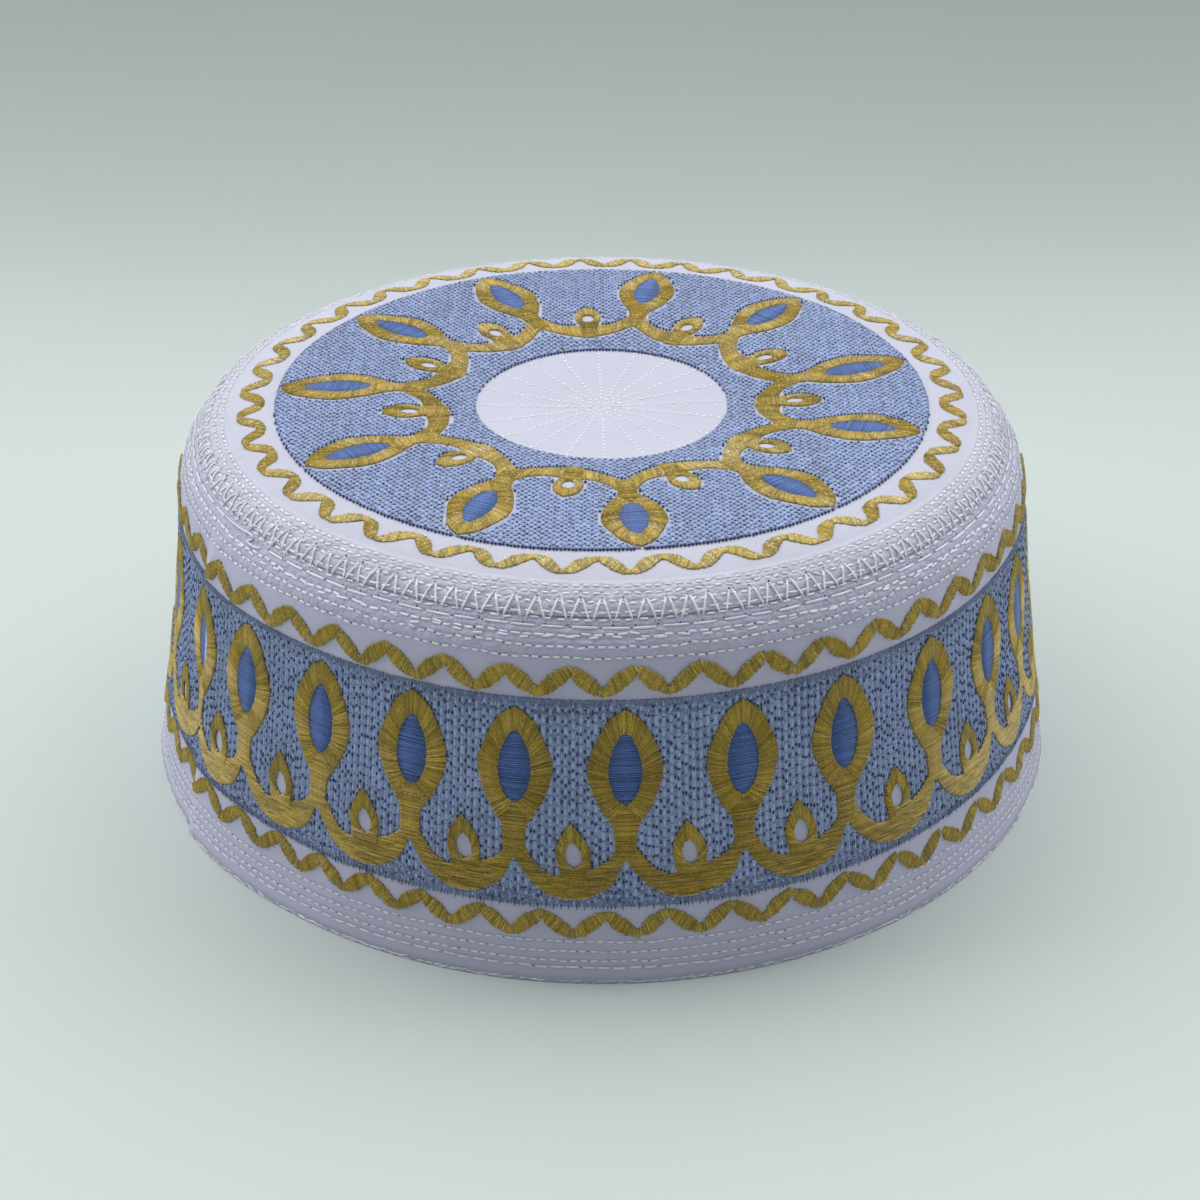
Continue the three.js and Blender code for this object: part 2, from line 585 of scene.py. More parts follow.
class CrownLayout:
    """Where the crown's motifs stand, and how their drawing is carried to the crown's plane."""

    face = CrownFace

    def __init__(self):
        self.necks = np.radians([motif["neck"] for motif in CROWN_MOTIFS])
        self.smalls = np.radians([motif["small"] for motif in CROWN_MOTIFS])
        self.leans = np.tan(np.radians([motif["lean"] for motif in CROWN_MOTIFS]))
        following = np.append(self.necks[1:], self.necks[0] + TURN)
        self.mids = (self.necks + following) / 2
        self.halves = (following - self.necks) / 2

    def from_neck(self, index, x, y):
        return self._upright(self.necks[index], self.leans[index], x, y)

    def from_small(self, index, x, y):
        return self._upright(self.smalls[index], 0.0, x, y)

    def from_gap(self, index, x, y):
        angle = self.mids[index] + x * self.halves[index] / SWAG_HALF
        out = CROWN_FOOT + CROWN_STRETCH * y
        return np.stack([out * np.cos(angle), out * np.sin(angle)], -1)

    def to_neck(self, x, y):
        index = nearest(wrapped(np.arctan2(y, x)[..., None] - self.necks))[1]
        return self._back(self.necks[index], self.leans[index], x, y)

    def to_small(self, x, y):
        index = nearest(wrapped(np.arctan2(y, x)[..., None] - self.smalls))[1]
        return self._back(self.smalls[index], 0.0, x, y)

    def to_gap(self, x, y):
        offset, index = nearest(wrapped(np.arctan2(y, x)[..., None] - self.mids))
        return offset * SWAG_HALF / self.halves[index], (np.hypot(x, y) - CROWN_FOOT) / CROWN_STRETCH

    @staticmethod
    def _upright(angle, lean, x, y):
        side = x * CROWN_WIDTH + lean * CROWN_STRETCH * np.maximum(y - 3, 0)
        out = CROWN_FOOT + CROWN_STRETCH * y
        return np.stack(
            [out * np.cos(angle) - side * np.sin(angle), out * np.sin(angle) + side * np.cos(angle)], -1
        )

    @staticmethod
    def _back(angle, lean, x, y):
        up = (x * np.cos(angle) + y * np.sin(angle) - CROWN_FOOT) / CROWN_STRETCH
        side = y * np.cos(angle) - x * np.sin(angle)
        return (side - lean * CROWN_STRETCH * np.maximum(up - 3, 0)) / CROWN_WIDTH, up


class Motif:
    """The gold drawing of one face, in millimetres from the notch under a neck."""

    def __init__(self, name):
        self.name = name
        self.outside, self.hole = Curve(LOOP_OUTSIDE), Curve(LOOP_HOLE)
        self.small_outside = Curve(SMALL_LOOPS[name]["outside"])
        self.small_hole = Curve(SMALL_LOOPS[name]["hole"])
        self.swag_low, self.swag_high = Curve(SWAGS[name]["low"]), Curve(SWAGS[name]["high"])

    def covers(self, layout, across, up, halo):
        """True where gold, or what a loop encloses, lies within halo of a place on the face."""
        x, y = layout.to_neck(across, up)
        loop = (np.abs(x) < self.outside(y) + halo) & (y > 0.5) & (y < self.outside.along[-1] + halo)
        x, y = layout.to_gap(across, up)
        swag = (y > self.swag_low(x) - halo) & (y < self.swag_high(x) + halo)
        x, y = layout.to_small(across, up)
        inside = (y > self.small_outside.along[0]) & (y < self.small_outside.along[-1] + halo)
        return loop | swag | (inside & (np.abs(x) < self.small_outside(y) + halo))


def evenly(points, count):
    """Points at even distances along a line of points."""
    steps = np.hypot(*np.diff(points, axis=0).T)
    travelled = np.concatenate([[0], np.cumsum(steps)])
    wanted = np.linspace(0, travelled[-1], count)
    return np.stack([np.interp(wanted, travelled, points[:, axis]) for axis in (0, 1)], -1)


def edge_line(curve, low, high):
    places = np.linspace(low, high, 120)
    return np.stack([curve(places), places], -1)


def ring_pairs(outside, hole, low, pitch, drop=0.0):
    """Starts and ends of the satin threads that run from a loop's outside to its hole, both sides."""
    outer = edge_line(outside, low - drop, outside.along[-1])
    inner = edge_line(hole, hole.along[0], hole.along[-1])
    length = np.hypot(*np.diff(outer, axis=0).T).sum()
    count = int(length / pitch)
    right = np.stack([evenly(outer, count), evenly(inner, count)])
    left = right * [-1, 1]
    return np.concatenate([right[0], left[0]]), np.concatenate([right[1], left[1]])


def row_pairs(curve, low, high, pitch, inset=0.0):
    """Starts and ends of threads laid straight across a shape, row by row."""
    rows = np.arange(low, high, pitch)
    half = np.maximum(curve(rows) - inset, 0.15)
    return np.stack([-half, rows], -1), np.stack([half, rows], -1)


def swag_rows(motif, pitch, longest, rng):
    """Rows of threads along a crescent, long rows broken into staggered stitches."""
    starts, ends = [], []
    places = np.linspace(-SWAG_HALF, SWAG_HALF, 409)
    for row in np.arange(motif.swag_low.across.min() + 0.15, motif.swag_high.across.max(), pitch):
        inside = (motif.swag_low(places) < row) & (row < motif.swag_high(places))
        for low, high in runs(places, inside):
            cuts = [low]
            while high - cuts[-1] > longest:
                cuts.append(cuts[-1] + longest * rng.uniform(0.5, 0.95))
            cuts.append(high)
            starts += [(cut - 0.1, row) for cut in cuts[:-1]]
            ends += [(cut + 0.1, row) for cut in cuts[1:]]
    return np.array(starts), np.array(ends)


def swag_satin(motif, pitch):
    """Threads straight over a crescent, side by side from notch to notch."""
    low = np.linspace(-SWAG_HALF, SWAG_HALF, 400)
    lower = evenly(np.stack([low, motif.swag_low(low)], -1), int(2.25 * SWAG_HALF / pitch))
    upper = evenly(np.stack([low, motif.swag_high(low)], -1), len(lower))
    return lower, upper


def runs(places, inside):
    """The stretches of a line of places that are inside, as pairs of their ends."""
    marks = np.flatnonzero(np.diff(np.concatenate([[0], inside.astype(int), [0]])))
    return [(places[first], places[last - 1]) for first, last in zip(marks[::2], marks[1::2])]


class ThreadShape:
    """One thread as a closed spindle: a ring at every station between its two pointed ends."""

    def __init__(self, corners, stations):
        shape = bmesh.new()
        last = stations - 1
        bmesh.ops.create_cone(
            shape, cap_ends=True, segments=corners, radius1=1, radius2=1, depth=last,
            matrix=Matrix.Translation((0, 0, last / 2)),
        )
        shape.verts.ensure_lookup_table()
        first = shape.verts[0].co
        turn = math.pi / 2 - math.atan2(first.y, first.x)
        bmesh.ops.rotate(shape, verts=shape.verts[:], cent=(0, 0, 0), matrix=Matrix.Rotation(turn, 3, "Z"))
        for station in range(1, last):
            everything = shape.verts[:] + shape.edges[:] + shape.faces[:]
            bmesh.ops.bisect_plane(shape, geom=everything, plane_co=(0, 0, station), plane_no=(0, 0, 1))
        for end in (0, last):
            ring = [vert for vert in shape.verts if abs(vert.co.z - end) < 1e-4]
            bmesh.ops.pointmerge(shape, verts=ring, merge_co=(0, 0, end))
        bmesh.ops.recalc_face_normals(shape, faces=shape.faces[:])
        shape.verts.index_update()
        places = np.array([vert.co for vert in shape.verts])
        self.station = np.rint(places[:, 2]).astype(int)
        self.side, self.up = places[:, 0], places[:, 1]
        self.faces = [[vert.index for vert in face.verts] for face in shape.faces]
        shape.free()


def joined_mesh(name, points, faces, numbers):
    """A mesh of many copies of one small shape. Points are copies by corners by 3."""
    copies, corners = points.shape[:2]
    pattern = np.concatenate(faces)
    sizes = np.array([len(face) for face in faces])
    loops = (pattern[None] + corners * np.arange(copies)[:, None]).ravel()
    starts = np.concatenate([[0], np.cumsum(np.tile(sizes, copies))[:-1]])
    mesh = bpy.data.meshes.new(name)
    mesh.vertices.add(copies * corners)
    mesh.vertices.foreach_set("co", points.astype(np.float32).ravel())
    mesh.loops.add(len(loops))
    mesh.loops.foreach_set("vertex_index", loops.astype(np.int32))
    mesh.polygons.add(len(starts))
    mesh.polygons.foreach_set("loop_start", starts.astype(np.int32))
    mesh.update(calc_edges=True)
    for key, values in numbers.items():
        attribute = mesh.attributes.new(key, "FLOAT", "POINT")
        attribute.data.foreach_set("value", values.astype(np.float32).ravel())
    return mesh


class Threads:
    """Threads of one kind, laid on the cloth one batch after another and joined in one piece."""

    def __init__(self, corners, rises, width, thickness, seed, dive=0.2, fade=0.25):
        self.shape = ThreadShape(corners, len(rises))
        self.rises = np.array(rises)
        self.width, self.thickness = width, thickness
        self.dive, self.fade = dive, fade
        self.rng = np.random.default_rng(seed)
        self.points, self.tones, self.tips = [], [], []

    def lay(self, face, starts, ends, arch, wander=0.0, reach=0.0, tone=None):
        """Straight stitches between places on a face's drawing plane, arched by arch millimetres."""
        starts = starts + self.rng.normal(0, wander, starts.shape) if wander else starts
        ends = ends + self.rng.normal(0, wander, ends.shape) if wander else ends
        length = np.maximum(np.hypot(*(ends - starts).T), SHORTEST_STITCH)
        further = (ends - starts) * (reach / length)[:, None]
        starts, ends = starts - further, ends + further
        end = np.clip(self.dive / length, 0.02, 0.3)
        middle = np.linspace(0, 1, len(self.rises) - 2) if len(self.rises) > 3 else np.array([0.5])
        between = end[:, None] + (1 - 2 * end[:, None]) * middle
        share = np.concatenate([np.zeros((len(end), 1)), between, np.ones((len(end), 1))], 1)
        places = starts[:, None] + (ends - starts)[:, None] * share[..., None]
        centre, normal = face.at(places[..., 0], places[..., 1])
        arch = np.broadcast_to(arch, len(starts)) * self.rng.uniform(0.85, 1.15, len(starts))
        self.lay_along(centre, normal, self.rises[None] * arch[:, None], tone)

    def lay_along(self, centre, normal, lift, tone=None):
        """Threads through given points on the cloth, each point lifted off it by some millimetres."""
        tone = self.rng.random(len(centre)) if tone is None else np.broadcast_to(tone, len(centre))
        centre = centre + normal * lift[..., None] * MM
        forward = np.empty_like(centre)
        forward[:, 1:-1] = centre[:, 2:] - centre[:, :-2]
        forward[:, 0] = centre[:, 1] - centre[:, 0]
        forward[:, -1] = centre[:, -1] - centre[:, -2]
        side = np.cross(normal, forward)
        side /= np.linalg.norm(side, axis=-1, keepdims=True)
        station = self.shape.station
        width = self.width * self.rng.uniform(0.9, 1.1, (len(centre), 1, 1)) * MM
        across = side[:, station] * self.shape.side[None, :, None] * width / 2
        upward = normal[:, station] * self.shape.up[None, :, None] * self.thickness * MM / 2
        # The tip attribute marks where the thread material paints shade: 1 at the pointed ends, fade at the
        # next rings, 0 between
        last = len(self.rises) - 1
        tip = np.where((station == 0) | (station == last), 1.0, 0.0)
        tip = np.where((station == 1) | (station == last - 1), self.fade, tip)
        self.points.append(centre[:, station] + across + upward)
        self.tones.append(np.repeat(tone[:, None], len(station), 1))
        self.tips.append(np.repeat(tip[None], len(centre), 0))

    def finish(self, name, material, slot, smooth=True):
        numbers = {"tone": np.concatenate(self.tones), "tip": np.concatenate(self.tips)}
        mesh = joined_mesh(name, np.concatenate(self.points), self.shape.faces, numbers)
        add_piece(name, mesh, material, smooth=smooth)


def add_piece(name, mesh, material, replaced=(), smooth=True):
    piece = bpy.data.objects.new(name, mesh)
    bpy.context.scene.collection.objects.link(piece)
    mesh.materials.append(material)
    if smooth:
        mesh.shade_smooth()
    else:
        mesh.shade_flat()
    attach(piece, "root")
    if replaced:
        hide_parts(*replaced)


class Value:
    """A number in a shader. Arithmetic on it adds Math nodes."""

    def __init__(self, shader, socket):
        self.shader, self.socket = shader, socket

    def _math(self, operation, *others):
        inputs = [other.socket if isinstance(other, Value) else other for other in others]
        node = self.shader.node("ShaderNodeMath", {"operation": operation}, dict(enumerate(inputs)))
        return Value(self.shader, node.outputs[0])

    def __add__(self, other):
        return self._math("ADD", self, other)

    def __sub__(self, other):
        return self._math("SUBTRACT", self, other)

    def __mul__(self, other):
        return self._math("MULTIPLY", self, other)

    def __rsub__(self, other):
        return self._math("SUBTRACT", other, self)

    def __pow__(self, other):
        return self._math("POWER", self, other)

    __radd__ = __add__
    __rmul__ = __mul__

    def sine(self):
        return self._math("SINE", self)

    def angle_to(self, other):
        return self._math("ARCTAN2", self, other)

    def above(self, low, high):
        """Rises from 0 to 1 between two values."""
        settings = {"interpolation_type": "SMOOTHSTEP"}
        node = self.shader.node("ShaderNodeMapRange", settings, {0: self.socket, 1: low, 2: high})
        return Value(self.shader, node.outputs[0])


class Shader:
    """A material's nodes, started with its Principled shader."""

    def __init__(self, name, roughness, **constants):
        self.material = bpy.data.materials.new(name)
        self.material.use_nodes = True
        self.tree = self.material.node_tree
        self.surface = self.tree.nodes["Principled BSDF"]
        self.surface.inputs["Roughness"].default_value = roughness
        for key, value in constants.items():
            self.surface.inputs[key.replace("_", " ")].default_value = value

    def node(self, kind, settings=None, inputs=None):
        made = self.tree.nodes.new(kind)
        for key, value in (settings or {}).items():
            setattr(made, key, value)
        for key, value in (inputs or {}).items():
            if isinstance(value, bpy.types.NodeSocket):
                self.tree.links.new(value, made.inputs[key])
            else:
                made.inputs[key].default_value = value
        return made

    def place(self):
        coordinates = self.node("ShaderNodeTexCoord").outputs["Object"]
        parts = self.node("ShaderNodeSeparateXYZ", inputs={0: coordinates})
        return [Value(self, parts.outputs[axis]) for axis in range(3)], coordinates

    def attribute(self, name):
        return Value(self, self.node("ShaderNodeAttribute", {"attribute_name": name}).outputs["Fac"])

    def noise(self, coordinates, size, detail=2.0):
        """Soft noise about 0.5, with features of a size in metres."""
        inputs = {"Vector": coordinates, "Scale": 1 / size, "Detail": detail}
        return Value(self, self.node("ShaderNodeTexNoise", inputs=inputs).outputs["Fac"])

    def blend(self, share, first, second):
        settings = {"data_type": "RGBA", "clamp_factor": True}
        inputs = {"Factor": share.socket, 6: first, 7: second}
        return self.node("ShaderNodeMix", settings, inputs).outputs[2]

    def colour(self, socket):
        self.tree.links.new(socket, self.surface.inputs["Base Color"])

    def bump(self, height, distance, strength):
        inputs = {"Height": height.socket, "Distance": distance, "Strength": strength}
        node = self.node("ShaderNodeBump", inputs=inputs)
        self.tree.links.new(node.outputs["Normal"], self.surface.inputs["Normal"])


def shade(colour, factor):
    return (*[channel * factor for channel in colour[:3]], 1.0)


def cotton(name, colour, on_crown):
    """White cotton: a fine plain weave that follows the cloth, faint slubs and patches slightly darker and
    lighter.
    """
    shader = Shader(name, 0.88, Sheen_Weight=0.12, Sheen_Roughness=0.5, Specular_IOR_Level=0.25)
    (x, y, z), coordinates = shader.place()
    pitch = 0.34 * MM
    around = round(TURN * DRAW_RADIUS * MM / pitch)
    if on_crown:
        warp, weft = (x * (TURN / pitch)).sine(), (y * (TURN / pitch)).sine()
    else:
        warp, weft = (y.angle_to(x) * around).sine(), (z * (TURN / pitch)).sine()
    slubs = shader.noise(coordinates, 0.9 * MM, 3.0)
    patches = shader.noise(coordinates, 22 * MM, 2.0)
    rim = ((x * x + y * y) ** 0.5).above(72.5 * MM, 74 * MM) if on_crown else z.above(60.5 * MM, 62.5 * MM)
    creases = shader.noise(coordinates, 1.2 * MM, 2.0) * rim
    shader.bump(warp * weft * 0.35 + slubs + creases * 15.0, 0.08 * MM, 0.55)
    tint = (patches * 0.7 + slubs * 0.3).above(0.3, 0.75)
    shader.colour(shader.blend(tint, shade(colour, 0.955), shade(colour, 1.02)))
    return shader.material


def thread(name, colour, pale, tones, end, grain, glint, roughness, gloss):
    """Spun thread: strands differ in tone at random. Painted highlights: fine grains, partly random tone and
    partly painted glitter, and glints that blend towards the pale colour. Painted shade: each thread darkens
    towards its ends, where it dives into the cloth.
    """
    shader = Shader(name, roughness, Sheen_Weight=0.15, Sheen_Roughness=0.35, Specular_IOR_Level=gloss)
    coordinates = shader.place()[1]
    tone, tip = shader.attribute("tone"), shader.attribute("tip")
    patches = shader.noise(coordinates, 9 * MM, 2.0)
    # Fine grains: partly random tone of the strands, partly painted glitter
    grains = shader.noise(coordinates, 0.34 * MM, 1.0).above(0.36, 0.64)
    share = tone * (0.85 - grain) + grains * grain + patches * 0.4 - 0.12
    plain = shader.blend(share, shade(colour, tones[0]), shade(colour, tones[1]))
    # Painted highlights: glints blend the colour towards the pale highlight colour
    glints = shader.noise(coordinates, 0.42 * MM, 1.0).above(0.57, 0.68)
    lit = shader.blend(glints * glint, plain, (*pale, 1.0))
    # Painted shade: where the tip attribute rises, the colour darkens to end times the colour
    shader.colour(shader.blend(tip * 0.9, lit, shade(colour, end)))
    fibres = shader.noise(coordinates, 0.16 * MM, 2.0)
    shader.bump(fibres, 0.05 * MM, 0.5)
    return shader.material


def gold_thread(name, colour, tones, glint):
    # Pale yellow painted glints, and painted shade that keeps 0.28 of the colour at each thread's ends
    return thread(name, colour, (1.0, 0.94, 0.74), tones, 0.28, 0.24, glint, 0.34, 0.6)


class CapSizes(PropertyGroup):
    """Sizes and counts of the cap's stitches."""

    band_motifs: IntProperty(
        name="Band motifs", description="Loops round the side band", default=27, min=12, max=40
    )
    upper_waves: IntProperty(
        name="Upper waves", description="Waves of the band's upper border", default=47, min=20, max=80
    )
    lower_waves: IntProperty(
        name="Lower waves", description="Waves of the band's lower border", default=50, min=20, max=80
    )
    crown_waves: IntProperty(
        name="Crown waves", description="Waves of the crown's border", default=38, min=20, max=80
    )
    zigzag_teeth: IntProperty(
        name="Zigzag teeth", description="Teeth of the seam of crown and band", default=132, min=60, max=240
    )
    star_rays: IntProperty(
        name="Star rays", description="Rows of stitches that meet in the crown's middle", default=20, min=4
    )
    satin_pitch: FloatProperty(
        name="Satin pitch", description="Distance between satin threads",
        default=0.00040, unit="LENGTH", precision=5,
    )
    satin_rise: FloatProperty(
        name="Satin rise", description="How far satin threads arch off the cloth",
        default=0.00040, unit="LENGTH", precision=5,
    )
    fill_pitch: FloatProperty(
        name="Fill pitch", description="Distance between columns of the blue fields",
        default=0.000667, unit="LENGTH", precision=6,
    )
    fill_stitch: FloatProperty(
        name="Fill stitch", description="Length of one stitch of the blue fields",
        default=0.0019, unit="LENGTH", precision=4,
    )
    halo: FloatProperty(
        name="Halo", description="Bare cloth between the blue fields and the gold",
        default=0.00022, unit="LENGTH", precision=5,
    )


class CapColours(PropertyGroup):
    """Colours of the cap and its stage."""

    crown_cotton: FloatVectorProperty(
        name="Crown cotton", description="White cotton of the crown",
        subtype="COLOR", size=3, default=(0.61, 0.62, 0.735), min=0, max=1,
    )
    band_cotton: FloatVectorProperty(
        name="Band cotton", description="White cotton of the side band, slightly violet",
        subtype="COLOR", size=3, default=(0.585, 0.585, 0.75), min=0, max=1,
    )
    gold: FloatVectorProperty(
        name="Gold thread", description="Olive gold satin thread",
        subtype="COLOR", size=3, default=(0.55, 0.41, 0.07), min=0, max=1,
    )
    blue: FloatVectorProperty(
        name="Blue thread", description="Cornflower blue thread",
        subtype="COLOR", size=3, default=(0.31, 0.405, 0.67), min=0, max=1,
    )
    # Painted shade: the navy of the small spindles laid where the blue stitches dive into the cloth
    blue_dip_shade: FloatVectorProperty(
        name="Blue dips", description="Navy shade where the blue stitches dive into the cloth",
        subtype="COLOR", size=3, default=(0.026, 0.052, 0.155), min=0, max=1,
    )
    # Painted highlight: the pale colour of the spindles laid uppermost on the stitches of the fields
    blue_ply_highlight: FloatVectorProperty(
        name="Pale plies", description="Pale blue ply that lies uppermost on the stitches of the fields",
        subtype="COLOR", size=3, default=(0.53, 0.60, 0.82), min=0, max=1,
    )
    blue_centre: FloatVectorProperty(
        name="Blue centres", description="Deeper blue of the satin in the loops",
        subtype="COLOR", size=3, default=(0.105, 0.20, 0.50), min=0, max=1,
    )
    white: FloatVectorProperty(
        name="White thread", description="White sewing thread",
        subtype="COLOR", size=3, default=(0.94, 0.935, 1.0), min=0, max=1,
    )
    hole: FloatVectorProperty(
        name="Needle holes", description="Shade inside the needle holes",
        subtype="COLOR", size=3, default=(0.06, 0.06, 0.075), min=0, max=1,
    )
    floor: FloatVectorProperty(
        name="Floor", description="Pale floor",
        subtype="COLOR", size=3, default=(0.665, 0.74, 0.722), min=0, max=1,
    )


def place_line(low, high, rows, coarse, fine=0.16, reach=0.8):
    """Places from low to high, close together near rows of stitches."""
    places = set(np.round(np.arange(low, high, coarse), 3))
    for row in rows:
        near = np.arange(row["place"] - reach, row["place"] + reach, fine)
        places.update(np.round(near[(near > low) & (near < high)], 3))
    kept = [low]
    for place in sorted(places):
        if place - kept[-1] > 0.8 * fine:
            kept.append(place)
    return kept + [high]


def spun_cloth(name, outline, steps, closed):
    """Spins an outline of (radius, height, along, depth) round +Z into a cloth's two faces."""
    cloth = bmesh.new()
    along_layer = cloth.verts.layers.float.new("along")
    depth_layer = cloth.verts.layers.float.new("depth")
    verts = []
    for radius, height, along, depth in outline:
        vert = cloth.verts.new((radius * MM, 0, height * MM))
        vert[along_layer], vert[depth_layer] = along, depth
        verts.append(vert)
    pairs = list(zip(verts, verts[1:]))
    if closed:
        pairs.append((verts[-1], verts[0]))
    edges = [cloth.edges.new(pair) for pair in pairs]
    bmesh.ops.spin(
        cloth, geom=verts + edges, cent=(0, 0, 0), axis=(0, 0, 1), angle=TURN, steps=steps, use_merge=True
    )
    bmesh.ops.remove_doubles(cloth, verts=cloth.verts[:], dist=1e-6)
    bmesh.ops.recalc_face_normals(cloth, faces=cloth.faces[:])
    mesh = bpy.data.meshes.new(name)
    cloth.to_mesh(mesh)
    cloth.free()
    return mesh


def read_layer(mesh, name):
    values = np.empty(len(mesh.vertices), np.float32)
    mesh.attributes[name].data.foreach_get("value", values)
    return values.astype(float)


def corner_places(mesh):
    places = np.empty(3 * len(mesh.vertices), np.float32)
    mesh.vertices.foreach_get("co", places)
    return places.reshape(-1, 3).astype(float)


class CAP_OT_crown_cloth(Operator):
    """Crown: a dished disc of cotton with a turned-down rim"""

    bl_idname = "cap.crown_cloth"
    bl_label = "Crown cloth"

    def execute(self, context):
        curve = CrownFace.curve
        face = [(place, curve(place), place, 0) for place in place_line(0, CROWN_EDGE, CROWN_ROWS, 1.6)]
        under = []
        for place in (CROWN_EDGE - 0.25, 77.5, 76, 74, 71, 67, 62, 50, 36, 20, 8, 0):
            cloth = RIM_CLOTH + (CROWN_CLOTH - RIM_CLOTH) * smoothstep(77, 72, place)
            under.append((place, curve(place) - cloth, place, cloth))
        mesh = spun_cloth("crown_cloth", face + under, 360, closed=False)
        along, depth = read_layer(mesh, "along"), read_layer(mesh, "depth")
        places = corner_places(mesh)
        angle = np.arctan2(places[:, 1], places[:, 0])
        point, normal = CrownFace.at(along * np.cos(angle), along * np.sin(angle))
        mesh.vertices.foreach_set("co", (point - normal * depth[:, None] * MM).ravel())
        mesh.update()
        colours = context.scene.cap_colours
        material = cotton("crown_cotton", colours.crown_cotton, on_crown=True)
        add_piece("crown_cloth", mesh, material, ("crown",))
        return {"FINISHED"}


class CAP_OT_band_cloth(Operator):
    """Side band: a tall cotton wall with quilted rows, a rounded shoulder and a lapped seam"""

    bl_idname = "cap.band_cloth"
    bl_label = "Side band cloth"

    def execute(self, context):
        curve = BandFace.curve
        top = TUCK[-1][1]
        face = [(curve(place), place, place, 0) for place in place_line(0, top, BAND_ROWS, 1.8)]
        inside = []
        for place in (69.15, 68.3, 67.2, 66.4, 65, 63, 60, 52, 40, 28, 16, 6, 0):
            inside.append((curve(place) - BAND_CLOTH, place, place, BAND_CLOTH))
        mesh = spun_cloth("side_band_cloth", face + inside, 360, closed=True)
        along, depth = read_layer(mesh, "along"), read_layer(mesh, "depth")
        places = corner_places(mesh)
        angle = np.arctan2(places[:, 1], places[:, 0])
        beside = wrapped(angle - SEAM_ANGLE)
        near = np.abs(beside) < math.radians(0.6)
        angle = np.where(near, SEAM_ANGLE + np.sign(beside) * math.radians(0.06), angle)
        point, normal = BandFace.at(angle * DRAW_RADIUS, along)
        lapped = BandFace.lap(angle, along) * (depth > 0)
        outward = np.stack([np.cos(angle), np.sin(angle), np.zeros_like(angle)], -1)
        point = point - normal * depth[:, None] * MM - outward * lapped[:, None] * MM
        point[:, 2] = np.maximum(point[:, 2], 0)
        mesh.vertices.foreach_set("co", point.ravel())
        mesh.update()
        colours = context.scene.cap_colours
        material = cotton("band_cotton", colours.band_cotton, on_crown=False)
        add_piece("side_band_cloth", mesh, material, ("side_band",))
        return {"FINISHED"}


def fill_stitches(layout, motif, columns, ups, allowed, length, halo, stray, rng):
    """Columns of running stitches that stop at the gold. Returns their starts, ends and columns."""
    starts, ends, numbers = [], [], []
    for number, across in enumerate(columns):
        place = np.full_like(ups, across)
        free = allowed(place, ups) & ~motif.covers(layout, place, ups, halo)
        phase = length * (0.5 * (number % 2) + rng.normal(0, stray))
        for low, high in runs(ups, free):
            if high - low < 0.35:
                continue
            first = math.ceil((low + 0.45 - phase) / length)
            last = math.floor((high - 0.45 - phase) / length)
            cuts = phase + length * np.arange(first, last + 1) + rng.normal(0, 0.1, max(0, last - first + 1))
            cuts = [low, *cuts, high]
            starts += [(across, cut) for cut in cuts[:-1]]
            ends += [(across, cut) for cut in cuts[1:]]
            numbers += [number] * (len(cuts) - 1)
    return np.array(starts), np.array(ends), np.array(numbers)


def ring_stitches(radius, pitch, stitch, wander, rng):
    """One circle of running stitches on the crown, as places on its plane."""
    count = round(TURN * radius / pitch)
    angle = rng.uniform(0, TURN) + (np.arange(count) + rng.normal(0, 0.04, count)) * TURN / count
    sweep = stitch / radius * rng.uniform(0.9, 1.08, count)
    inner, outer = radius + rng.normal(0, wander, count), radius + rng.normal(0, wander, count)
    starts = np.stack([inner * np.cos(angle), inner * np.sin(angle)], -1)
    ends = np.stack([outer * np.cos(angle + sweep), outer * np.sin(angle + sweep)], -1)
    return starts, ends


